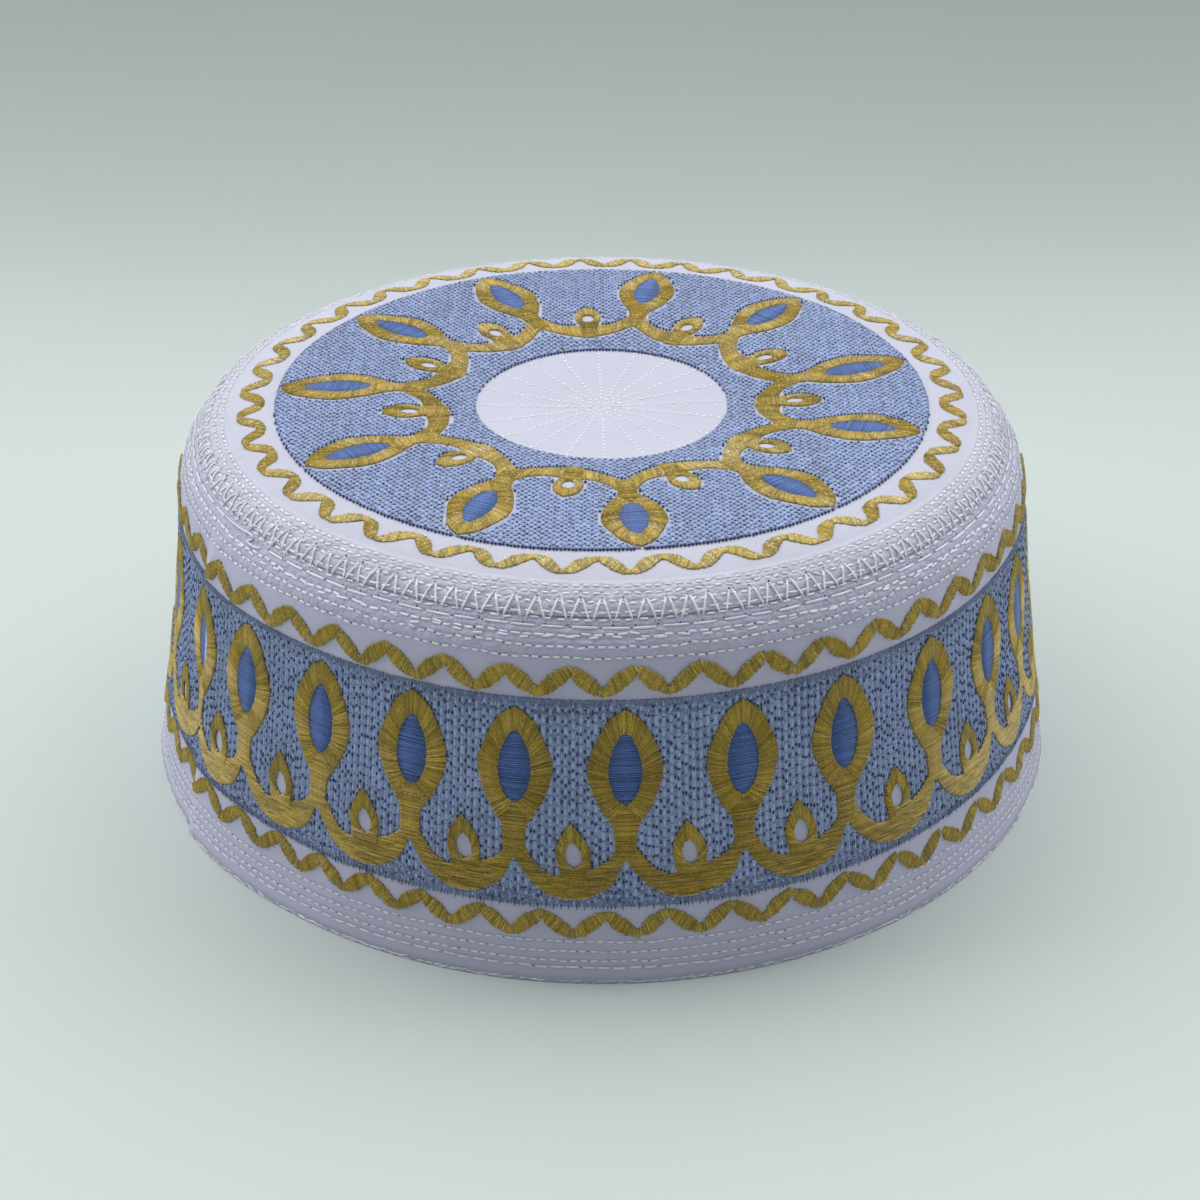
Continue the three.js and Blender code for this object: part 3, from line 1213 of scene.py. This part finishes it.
class CAP_OT_blue_fields(Operator):
    """Blue fields: columns of running stitches on the band and on the crown"""

    bl_idname = "cap.blue_fields"
    bl_label = "Blue fields"

    def execute(self, context):
        sizes, colours = context.scene.cap_sizes, context.scene.cap_colours
        pale = (0.76, 0.83, 1.0)
        # The band's blue is a darker copy of the crown's, at 0.84 of its colour, painted shade for the band's
        # side, with half the crown's painted glints
        band = thread(
            "band_blue_fill", shade(colours.blue, 0.84), pale, (0.36, 1.95), 0.3, 0.12, 0.3, 0.42, 0.5
        )
        crown = thread("crown_blue_fill", colours.blue, pale, (0.38, 1.95), 0.3, 0.16, 0.6, 0.42, 0.5)
        navy = thread("blue_dip_shades", colours.blue_dip_shade, pale, (0.4, 2.2), 1.0, 0.1, 0.0, 0.7, 0.2)
        # Pale spindles of painted highlight along the stitches
        ply_highlight = thread("blue_ply_highlights", colours.blue_ply_highlight, pale, (0.75, 1.1), 0.8, 0.3, 0.3, 0.42, 0.5)
        pitch, length, halo = sizes.fill_pitch / MM, sizes.fill_stitch / MM, sizes.halo / MM
        self.fill_band(BandLayout(sizes.band_motifs), pitch, length, halo, (band, navy, ply_highlight))
        self.fill_crown(CrownLayout(), pitch, 0.88 * length, 3.1 * halo, (crown, navy, ply_highlight))
        return {"FINISHED"}

    def lay_dip_shades(self, dip_shades, face, starts, ends, reach):
        """Painted shade: a small dark spindle laid where each stitch of a field dives into the cloth."""
        length = np.maximum(np.hypot(*(ends - starts).T), SHORTEST_STITCH)
        along = (ends - starts) / length[:, None]
        half = reach * dip_shades.rng.uniform(0.8, 1.2, (len(starts), 1))
        dip_shades.lay(face, starts - half * along, starts + half * along, 0.3, wander=0.04)

    def lay_ply_highlights(self, face, starts, ends, seed):
        """Painted highlight: a short pale spindle laid uppermost on the middle of each longer stitch of a
        field.
        """
        ply_highlights = Threads(3, PLY_HIGHLIGHT, width=0.36, thickness=0.1, seed=seed, dive=0.4)
        long = np.hypot(*(ends - starts).T) > 1.0
        starts, ends = starts[long], ends[long]
        along = (ends - starts) * ply_highlights.rng.uniform(0.12, 0.22, (len(starts), 1))
        ply_highlights.lay(face, starts + along, ends - along, 0.35, wander=0.05)
        return ply_highlights

    def fill_band(self, layout, pitch, length, halo, materials):
        rng = np.random.default_rng(11)
        motif = Motif("band")
        low, high = BAND_FIELD
        around = TURN * DRAW_RADIUS
        pairs = round(around / (2 * pitch))
        middles = (np.arange(pairs) + 0.5) * around / pairs
        columns = np.stack([middles - 0.3, middles + 0.3], -1).ravel()
        ups = np.arange(low, high + 0.05, 0.1)
        fill = Threads(3, FILL, width=0.9, thickness=0.26, seed=12, dive=0.3, fade=0.1)
        starts, ends, numbers = fill_stitches(
            layout, motif, columns, ups, lambda across, up: up > 0, length, halo, 0.9, rng
        )
        # Every second column is made lighter and gets pale spindles of painted highlight, painted light
        # streaks through the field; the other columns, and some stitches of these, get dark spindles of
        # painted shade
        second = numbers % 2 == 1
        tone = 0.12 + 0.4 * second + 0.3 * rng.random(len(numbers))
        fill.lay(layout.face, starts, ends, 0.14, wander=0.05, reach=0.13, tone=tone)
        ply_highlights = self.lay_ply_highlights(layout.face, starts[second], ends[second], 14)
        dip_shades = Threads(3, DIP_SHADE, width=0.42, thickness=0.18, seed=13, dive=0.4)
        dark = ~second | (rng.random(len(numbers)) < 0.3)
        self.lay_dip_shades(dip_shades, layout.face, starts[dark], ends[dark], 0.95)
        edging = Threads(3, FILL, width=0.6, thickness=0.3, seed=15, dive=0.1, fade=0.1)
        for edge, inward in ((low - 0.4, 1.2), (high + 0.3, -1.1)):
            turns = np.stack([columns, np.full(len(columns), edge)], -1)
            edging.lay(layout.face, turns, turns + [0, inward], 0.24, wander=0.04, tone=0.1)
        for height in BAND_FIELD_ROWS:
            count = round(around / 1.9)
            begin = (np.arange(count) + rng.uniform(0, 1) + rng.normal(0, 0.04, count)) * around / count
            starts = np.stack([begin, height + rng.normal(0, 0.05, count)], -1)
            free = ~motif.covers(layout, *(starts + [0.85, 0]).T, 0.6)
            fill.lay(layout.face, starts[free], starts[free] + [1.7, 0], 0.3, wander=0.04, tone=0.1)
        self.finish_field("band", fill, edging, dip_shades, ply_highlights, materials)

    def fill_crown(self, layout, pitch, length, halo, materials):
        rng = np.random.default_rng(21)
        motif = Motif("crown")
        inner, outer = CROWN_FIELD
        pairs = int(outer / pitch)
        middles = (np.arange(pairs) - (pairs - 1) / 2) * 2 * pitch
        columns = np.stack([middles - 0.32, middles + 0.32], -1).ravel()
        ups = np.arange(-outer, outer, 0.1)

        def allowed(across, up):
            radius = np.hypot(across, up)
            return (radius > inner) & (radius < outer)

        fill = Threads(3, FILL, width=0.92, thickness=0.32, seed=22, dive=0.3, fade=0.1)
        starts, ends, numbers = fill_stitches(
            layout, motif, columns, ups, allowed, length, halo, 0.06, rng
        )
        tone = 0.1 + 0.3 * rng.random(len(columns))[numbers] + 0.3 * rng.random(len(numbers))
        fill.lay(layout.face, starts, ends, 0.14, wander=0.05, reach=0.13, tone=tone)
        # Pale spindles of painted highlight on every longer stitch
        ply_highlights = self.lay_ply_highlights(layout.face, starts, ends, 24)
        # Dark spindles of painted shade where every stitch dives into the cloth
        dip_shades = Threads(3, DIP_SHADE, width=0.56, thickness=0.26, seed=23, dive=0.4)
        self.lay_dip_shades(dip_shades, layout.face, starts, ends, 0.8)
        edging = Threads(3, FILL, width=0.5, thickness=0.3, seed=25, dive=0.1, fade=0.1)
        for edge in (inner + 0.2, outer - 0.2):
            starts, ends = ring_stitches(edge, 1.33, 1.0, 0.05, rng)
            edging.lay(layout.face, starts, ends, 0.24, tone=0.1)
        for radius in CROWN_FIELD_ROWS:
            starts, ends = ring_stitches(radius, 1.9, 1.75, 0.05, rng)
            free = ~motif.covers(layout, *((starts + ends) / 2).T, halo + 0.3)
            fill.lay(layout.face, starts[free], ends[free], 0.2, tone=0.25)
        self.finish_field("crown", fill, edging, dip_shades, ply_highlights, materials)

    def finish_field(self, face, fill, edging, dip_shades, ply_highlights, materials):
        blue, navy, ply_highlight = materials
        fill.finish(f"{face}_blue_field", blue, "blue_thread", smooth=False)
        edging.finish(f"{face}_blue_edging", blue, "blue_thread", smooth=False)
        # Dark spindles of painted shade, and pale spindles of painted highlight
        dip_shades.finish(f"{face}_blue_dip_shades", navy, "blue_thread")
        ply_highlights.finish(f"{face}_blue_ply_highlights", ply_highlight, "blue_thread", smooth=False)


def wave_pairs(table, period, count):
    """Upper and lower ends of the threads of one wave. Across is given in millimetres."""
    share = (np.arange(count) + 0.5) / count
    ends = []
    for side in ("upper", "lower"):
        across = Curve([(row["share"], row[side][0]) for row in table])
        up = Curve([(row["share"], row[side][1]) for row in table])
        ends.append(np.stack([across(share) * period, up(share)], -1))
    return ends


class CAP_OT_gold_waves(Operator):
    """Gold waves: satin borders above and below the band's field and round the crown's field"""

    bl_idname = "cap.gold_waves"
    bl_label = "Gold waves"

    def execute(self, context):
        sizes, colours = context.scene.cap_sizes, context.scene.cap_colours
        # The crown's gold is a copy with wider tones and more painted glints, for the lit crown; the band's
        # has fewer painted glints
        on_band = gold_thread("band_gold_waves", colours.gold, (0.5, 1.5), 0.4)
        on_crown = gold_thread("crown_gold_wave", colours.gold, (0.4, 1.7), 0.9)
        pitch, rise = sizes.satin_pitch / MM, sizes.satin_rise / MM
        band = Threads(3, SATIN, width=0.6, thickness=0.5, seed=31, dive=0.13)
        for border, count in zip(BAND_BORDERS, (sizes.upper_waves, sizes.lower_waves)):
            self.lay_band(band, border, count, pitch, rise)
        band.finish("band_gold_waves", on_band, "gold_thread", smooth=False)
        crown = Threads(3, SATIN, width=0.56, thickness=0.32, seed=32, dive=0.13)
        self.lay_crown(crown, CROWN_BORDER, sizes.crown_waves, pitch, rise)
        crown.finish("crown_gold_wave", on_crown, "gold_thread", smooth=False)
        return {"FINISHED"}

    def lay_band(self, threads, border, count, pitch, rise):
        period = TURN * DRAW_RADIUS / count
        upper, lower = wave_pairs(BAND_WAVE, period, round(1.23 * period / pitch))
        angles, around, up = np.array(border["drift"]).T
        for number in range(count):
            angle = border["first"] + number * 360 / count
            place = (angle - angles[0]) % 360 + angles[0]
            cusp = math.radians(angle + np.interp(place, angles, around)) * DRAW_RADIUS
            origin = np.array([cusp, border["top"] + np.interp(place, angles, up)])
            origin += threads.rng.normal(0, 0.06, 2)
            tall = np.array([1, border["tall"]])
            threads.lay(BandFace, upper * tall + origin, lower * tall + origin, 0.75 * rise, 0.09, 0.12)

    def lay_crown(self, threads, border, count, pitch, rise):
        top = border["top"]
        period = TURN * top / count
        pairs = wave_pairs(CROWN_WAVE, period, round(1.15 * period / pitch))
        for number in range(count):
            cusp = border["first"] + number * 360 / count
            far = np.degrees(wrapped(math.radians(cusp - border["stray_at"]))) / border["stray_over"]
            cusp = math.radians(cusp + border["stray"] * math.exp(-far * far))
            ends = []
            for places in pairs:
                angle = cusp + places[:, 0] / top
                radius = top + places[:, 1]
                ends.append(np.stack([radius * np.cos(angle), radius * np.sin(angle)], -1))
            threads.lay(CrownFace, *ends, 0.5 * rise, wander=0.06, reach=0.1)


class CAP_OT_motifs(Operator):
    """Motifs: gold loops with blue satin centres, crescents between them and small loops on those"""

    bl_idname = "cap.motifs"
    bl_label = "Motifs"

    def execute(self, context):
        sizes, colours = context.scene.cap_sizes, context.scene.cap_colours
        # The crown's gold is a copy with wider tones and more painted glints, for the lit crown; the band's
        # has fewer painted glints
        band_gold = gold_thread("band_gold_satin", colours.gold, (0.5, 1.5), 0.3)
        crown_gold = gold_thread("crown_gold_satin", colours.gold, (0.4, 1.7), 0.9)
        pale = (0.36, 0.5, 0.85)
        # Blue satin with faint painted glints and painted shade at the thread ends
        blue = thread("blue_satin", colours.blue_centre, pale, (0.6, 1.4), 0.3, 0.3, 0.16, 0.42, 0.4)
        pitch, rise = sizes.satin_pitch / MM, sizes.satin_rise / MM
        self.embroider(BandLayout(sizes.band_motifs), Motif("band"), pitch, rise, band_gold, blue, 41)
        self.embroider(CrownLayout(), Motif("crown"), pitch, 0.75 * rise, crown_gold, blue, 51)
        return {"FINISHED"}

    def embroider(self, layout, motif, pitch, rise, gold, blue, seed):
        satin = Threads(3, SATIN, width=0.46, thickness=0.42, seed=seed, dive=0.13)
        centres = Threads(4, SATIN, width=0.4, thickness=0.34, seed=seed + 1, dive=0.13)
        low = LOOP_HOLE[0][0]
        loop = ring_pairs(motif.outside, motif.hole, low, pitch, drop=3.0)
        neck = row_pairs(motif.outside, 0.3, low, 0.95 * pitch)
        centre = row_pairs(motif.hole, low, LOOP_HOLE[-1][0], 0.9 * pitch, inset=-0.1)
        small_low = motif.small_hole.along[0]
        small = ring_pairs(motif.small_outside, motif.small_hole, small_low, pitch)
        stem = row_pairs(motif.small_outside, motif.small_outside.along[0], small_low, pitch)
        for index in range(len(layout.necks)):
            if motif.name == "band":
                swag = swag_rows(motif, 0.95 * pitch, 5.0, satin.rng)
            else:
                swag = swag_satin(motif, pitch)
            self.carry(satin, layout.face, layout.from_gap, index, swag, 0.75 * rise)
            self.carry(satin, layout.face, layout.from_neck, index, neck, 0.9 * rise)
            self.carry(centres, layout.face, layout.from_neck, index, centre, 0.6 * rise)
            self.carry(satin, layout.face, layout.from_neck, index, loop, rise)
            self.carry(satin, layout.face, layout.from_small, index, stem, 1.1 * rise)
            self.carry(satin, layout.face, layout.from_small, index, small, rise)
        satin.finish(f"{layout.face.name}_gold_motifs", gold, "gold_thread", smooth=False)
        centres.finish(f"{layout.face.name}_blue_centres", blue, "blue_thread")

    def carry(self, threads, face, to_face, index, pairs, arch):
        starts, ends = (to_face(index, *places.T) for places in pairs)
        threads.lay(face, starts, ends, arch, wander=0.055, reach=0.1)


def band_row(number):
    """One row of running stitches round the band, as places on its plane."""
    rng = np.random.default_rng(600 + number)
    row = BAND_ROWS[number]
    radius = BandFace.curve(row["place"])
    count = round(TURN * radius / row["pitch"])
    step = TURN * DRAW_RADIUS / count
    begin = (np.arange(count) + rng.uniform(0, 1) + rng.normal(0, 0.03, count)) * step
    stitch = row["stitch"] * DRAW_RADIUS / radius * rng.uniform(0.88, 1.08, count)
    height = row["place"] + rng.normal(0, row["wander"], count + 1)
    starts = np.stack([begin, height[:-1]], -1)
    ends = np.stack([begin + stitch, height[:-1] * 0.6 + height[1:] * 0.4], -1)
    return starts, ends


class CAP_OT_white_rows(Operator):
    """White stitching: rows of running stitches, the zigzag seam and the star in the crown's middle"""

    bl_idname = "cap.white_rows"
    bl_label = "White stitching"

    def execute(self, context):
        sizes, colours = context.scene.cap_sizes, context.scene.cap_colours
        pale = (1.0, 1.0, 1.0)
        # White thread with painted glints, and painted shade at the stitch ends
        material = thread("white_sewing", colours.white, pale, (0.88, 1.08), 0.7, 0.2, 0.6, 0.3, 1.0)
        rng = np.random.default_rng(61)
        rows = Threads(4, SEWN, width=0.38, thickness=0.16, seed=62)
        for number in range(len(BAND_ROWS)):
            starts, ends = band_row(number)
            if number == LOOSE_ROW:
                kept = self.beside_loose(starts, ends)
                starts, ends = starts[kept], ends[kept]
            rows.lay(BandFace, starts, ends, 0.2)
        for row in CROWN_ROWS:
            stitches = ring_stitches(row["place"], row["pitch"], row["stitch"], row["wander"], rng)
            rows.lay(CrownFace, *stitches, 0.2)
        rows.finish("white_running_rows", material, "white_thread", smooth=False)
        self.loose_thread(material)
        self.hem_fibres(material, rng)
        star = Threads(5, SEWN, width=0.52, thickness=0.1, seed=63)
        star.lay(CrownFace, *self.star(sizes.star_rays, rng), 0.08)
        star.finish("crown_star_rows", material, "white_thread", smooth=False)
        self.zigzag(sizes.zigzag_teeth, material, rng)
        return {"FINISHED"}

    def beside_loose(self, starts, ends):
        """True for the stitches of the long row that lie clear of its loose stretch."""
        first, last = math.radians(LOOSE_THREAD[0][0]), math.radians(LOOSE_THREAD[-1][0])
        middle, half = (first + last) / 2, (last - first) / 2
        centre = (starts[:, 0] + ends[:, 0]) / 2 / DRAW_RADIUS
        return np.abs(wrapped(centre - middle)) > half + 0.01

    def loose_thread(self, material):
        """The loose stretch of the long row, one thread that wanders over the shoulder."""
        angle, height = np.array(LOOSE_THREAD).T
        across = np.radians(angle) * DRAW_RADIUS
        travelled = np.concatenate([[0], np.cumsum(np.hypot(np.diff(across), np.diff(height)))])
        lift = np.full(31, 0.2)
        places = np.linspace(0, travelled[-1], len(lift))
        lift[[0, -1]] = -0.1
        loose = Threads(5, lift, width=0.34, thickness=0.3, seed=65)
        along, up = Curve(np.stack([travelled, across], -1)), Curve(np.stack([travelled, height], -1))
        centre, normal = BandFace.at(along(places), up(places))
        loose.lay_along(centre[None], normal[None], lift[None])
        loose.finish("loose_thread", material, "white_thread")

    def hem_fibres(self, material, rng):
        """Short frayed fibres along the cut lower edge of the band."""
        fibres = Threads(3, FILL, width=0.16, thickness=0.12, seed=66)
        begin = rng.uniform(0, TURN, HEM_FIBRES) * DRAW_RADIUS
        height = rng.uniform(0.12, 0.62, HEM_FIBRES)
        starts = np.stack([begin, height], -1)
        reach = np.stack([rng.uniform(0.5, 1.5, HEM_FIBRES), rng.uniform(-0.1, 0.25, HEM_FIBRES)], -1)
        fibres.lay(BandFace, starts, starts + reach, 0.08)
        fibres.finish("hem_fibres", material, "white_thread", smooth=False)

    def star(self, rays, rng):
        """Starts and ends of the stitches of the rows that meet in the crown's middle."""
        starts, ends = [], []
        for ray in range(rays):
            angle = TURN * (ray + 0.1) / rays + rng.normal(0, 0.012)
            radius = np.arange(1.1 + 2.2 * (ray % 2) + rng.uniform(0, 0.8), 24.0, 1.5)
            stray = rng.normal(0, 0.1, (2, len(radius)))
            for line, reach, sideways in ((starts, radius, stray[0]), (ends, radius + 0.85, stray[1])):
                x = reach * math.cos(angle) - sideways * math.sin(angle)
                y = reach * math.sin(angle) + sideways * math.cos(angle)
                line.append(np.stack([x, y], -1))
        return np.concatenate(starts), np.concatenate(ends)

    def zigzag(self, teeth, material, rng):
        """Each tooth is two threads, from a hole in the crown's rim over its edge to the band."""
        threads = Threads(5, OVER_RIM, width=0.38, thickness=0.2, seed=64)
        tooth = TURN / teeth
        middle = (np.arange(teeth) + rng.normal(0, 0.05, teeth)) * tooth
        radii = np.array([ZIGZAG_HEAD, 76.6, 77.4, 78.2, CROWN_EDGE])
        heights = np.append(CrownFace.curve(radii), ZIGZAG_FOOT)
        steps = np.hypot(np.diff(np.append(radii, CROWN_EDGE + 0.4)), np.diff(heights))
        shares = np.concatenate([[0], np.cumsum(steps)]) / steps.sum()
        for side in (-1, 1):
            head = middle + side * 0.05 * tooth
            foot = middle + side * (0.45 + rng.normal(0, 0.03, teeth)) * tooth
            angle = head[:, None] * (1 - shares) + foot[:, None] * shares
            upper = angle[:, :-1]
            rim, rim_normal = CrownFace.at(radii * np.cos(upper), radii * np.sin(upper))
            base, base_normal = BandFace.at(foot[:, None] * DRAW_RADIUS, np.full((teeth, 1), ZIGZAG_FOOT))
            centre, normal = np.concatenate([rim, base], 1), np.concatenate([rim_normal, base_normal], 1)
            threads.lay_along(centre, normal, np.tile(OVER_RIM, (teeth, 1)))
        threads.finish("zigzag_seam", material, "white_thread", smooth=False)


class CAP_OT_needle_holes(Operator):
    """Needle holes: small flat dark cones of painted shade at the ends of the seam's stitches"""

    bl_idname = "cap.needle_holes"
    bl_label = "Needle holes"

    def execute(self, context):
        sizes, colours = context.scene.cap_sizes, context.scene.cap_colours
        rng = np.random.default_rng(71)
        spots = []
        teeth = sizes.zigzag_teeth
        angle = np.arange(teeth) * TURN / teeth
        head = ZIGZAG_HEAD - 0.15
        spots.append(CrownFace.at(head * np.cos(angle), head * np.sin(angle)))
        foot = np.full(teeth, ZIGZAG_FOOT - 0.1)
        spots.append(BandFace.at((angle + math.pi / teeth) * DRAW_RADIUS, foot))
        for row, share in HOLE_SHARES:
            starts = band_row(row)[0]
            kept = starts[rng.random(len(starts)) < share]
            spots.append(BandFace.at(kept[:, 0] - 0.25, kept[:, 1]))
        spots.append(CrownFace.at(np.array([0.0]), np.array([0.0])))
        points = np.concatenate([spot[0] for spot in spots])
        normals = np.concatenate([spot[1] for spot in spots])
        self.dimples(points, normals, rng, colours.hole)
        return {"FINISHED"}

    def dimples(self, points, normals, rng, colour):
        """One flat dark cone of painted shade at each point, joined in one piece."""
        shape = bmesh.new()
        bmesh.ops.create_cone(shape, cap_ends=True, segments=5, radius1=1, radius2=0.55, depth=1)
        shape.verts.index_update()
        corners = np.array([vert.co for vert in shape.verts])
        faces = [[vert.index for vert in face.verts] for face in shape.faces]
        shape.free()
        side = np.cross(normals, [0.31, 0.17, 0.94])
        side /= np.linalg.norm(side, axis=-1, keepdims=True)
        other = np.cross(normals, side)
        size = rng.uniform(0.15, 0.24, len(points))[:, None, None] * MM
        spread = side[:, None] * corners[None, :, :1] + other[:, None] * corners[None, :, 1:2]
        places = points[:, None] + spread * size + normals[:, None] * corners[None, :, 2:] * 0.05 * MM
        mesh = joined_mesh("needle_holes", places, faces, {})
        shader = Shader("needle_hole_shade", 1.0, Specular_IOR_Level=0.0)
        coordinates = shader.place()[1]
        # Painted shade inside the holes, lighter and darker by a noise
        depth = shader.noise(coordinates, 1.3 * MM)
        shader.colour(shader.blend(depth, shade(colour, 0.5), shade(colour, 1.6)))
        add_piece("needle_holes", mesh, shader.material)


class CAP_OT_studio(Operator):
    """Stage: a pale floor, soft studio light from above, from behind and from both sides, and the camera"""

    bl_idname = "cap.studio"
    bl_label = "Studio"

    def execute(self, context):
        scene = context.scene
        self.backdrop(scene)
        for name, (place, size, power) in LIGHTS.items():
            self.light(scene, name, place, size, power)
        world = bpy.data.worlds.new("soft_room")
        world.use_nodes = True
        background = world.node_tree.nodes["Background"]
        background.inputs["Color"].default_value = (0.93, 0.96, 1.0, 1.0)
        background.inputs["Strength"].default_value = ROOM_LIGHT
        scene.world = world
        scene.view_settings.view_transform = "Standard"
        camera = bpy.data.objects.new("camera", bpy.data.cameras.new("camera"))
        camera.data.sensor_width = 36.0
        camera.data.lens = CAMERA_LENS
        camera.location = CAMERA_PLACE
        camera.rotation_euler = (CAMERA_TILT, 0, 0)
        scene.collection.objects.link(camera)
        scene.camera = camera
        return {"FINISHED"}

    def backdrop(self, scene):
        """A floor that sweeps up behind the cap into a low wall. Its colour darkens towards the back as
        painted shade, over a faint mottle.
        """
        sweep, radius = 0.23, 0.14
        line = [(-3.0, 0.0), (-1.0, 0.0), (0.0, 0.0)]
        for step in range(25):
            turn = math.radians(90 * step / 24)
            line.append((sweep + radius * math.sin(turn), radius * (1 - math.cos(turn))))
        line.append((sweep + radius, 0.32))
        shape = bmesh.new()
        verts = [shape.verts.new((-3.0, y, z)) for y, z in line]
        edges = [shape.edges.new(pair) for pair in zip(verts, verts[1:])]
        made = bmesh.ops.extrude_edge_only(shape, edges=edges)["geom"]
        moved = [part for part in made if isinstance(part, bmesh.types.BMVert)]
        bmesh.ops.translate(shape, verts=moved, vec=(6.0, 0, 0))
        bmesh.ops.recalc_face_normals(shape, faces=shape.faces[:])
        if shape.faces[0].normal.z < 0:
            bmesh.ops.reverse_faces(shape, faces=shape.faces[:])
        mesh = bpy.data.meshes.new("backdrop")
        shape.to_mesh(mesh)
        shape.free()
        mesh.shade_smooth()
        backdrop = bpy.data.objects.new("backdrop", mesh)
        scene.collection.objects.link(backdrop)
        shader = Shader("pale_backdrop", 0.8, Specular_IOR_Level=0.2)
        places, coordinates = shader.place()
        # Painted shade: the colour darkens to 0.83 of the floor's towards the back, mixed with a faint mottle
        behind = places[1].above(0.02, 0.42)
        mottle_and_falloff_shade = shader.noise(coordinates, 0.09, 2.0) * 0.2 + behind * 0.8
        colour = scene.cap_colours.floor
        shader.colour(shader.blend(mottle_and_falloff_shade, shade(colour, 1.0), shade(colour, 0.83)))
        mesh.materials.append(shader.material)

    def light(self, scene, name, place, size, power):
        light = bpy.data.lights.new(name, "AREA")
        light.shape = "RECTANGLE"
        light.size, light.size_y = size
        light.energy = power
        lamp = bpy.data.objects.new(name, light)
        lamp.location = place
        lamp.rotation_euler = (-Vector(place)).to_track_quat("-Z", "Y").to_euler()
        scene.collection.objects.link(lamp)


class CAP_PT_panel(Panel):
    """Lists the cap's pieces, its sizes and its colours"""

    bl_idname = "CAP_PT_panel"
    bl_label = "Embroidered cap"
    bl_space_type = "VIEW_3D"
    bl_region_type = "UI"
    bl_category = "Cap"

    def draw(self, context):
        for step in STEPS:
            self.layout.operator(step.bl_idname)
        for group in (context.scene.cap_sizes, context.scene.cap_colours):
            for name in group.__annotations__:
                self.layout.prop(group, name)


STEPS = (
    CAP_OT_studio,
    CAP_OT_crown_cloth,
    CAP_OT_band_cloth,
    CAP_OT_blue_fields,
    CAP_OT_gold_waves,
    CAP_OT_motifs,
    CAP_OT_white_rows,
    CAP_OT_needle_holes,
)
CLASSES = (CapSizes, CapColours, *STEPS, CAP_PT_panel)


def register():
    for kind in CLASSES:
        bpy.utils.register_class(kind)
    bpy.types.Scene.cap_sizes = PointerProperty(type=CapSizes)
    bpy.types.Scene.cap_colours = PointerProperty(type=CapColours)


def unregister():
    del bpy.types.Scene.cap_colours
    del bpy.types.Scene.cap_sizes
    for kind in reversed(CLASSES):
        bpy.utils.unregister_class(kind)


def main():
    register()
    for step in STEPS:
        group, name = step.bl_idname.split(".")
        getattr(getattr(bpy.ops, group), name)()


if __name__ == "__main__":
    main()
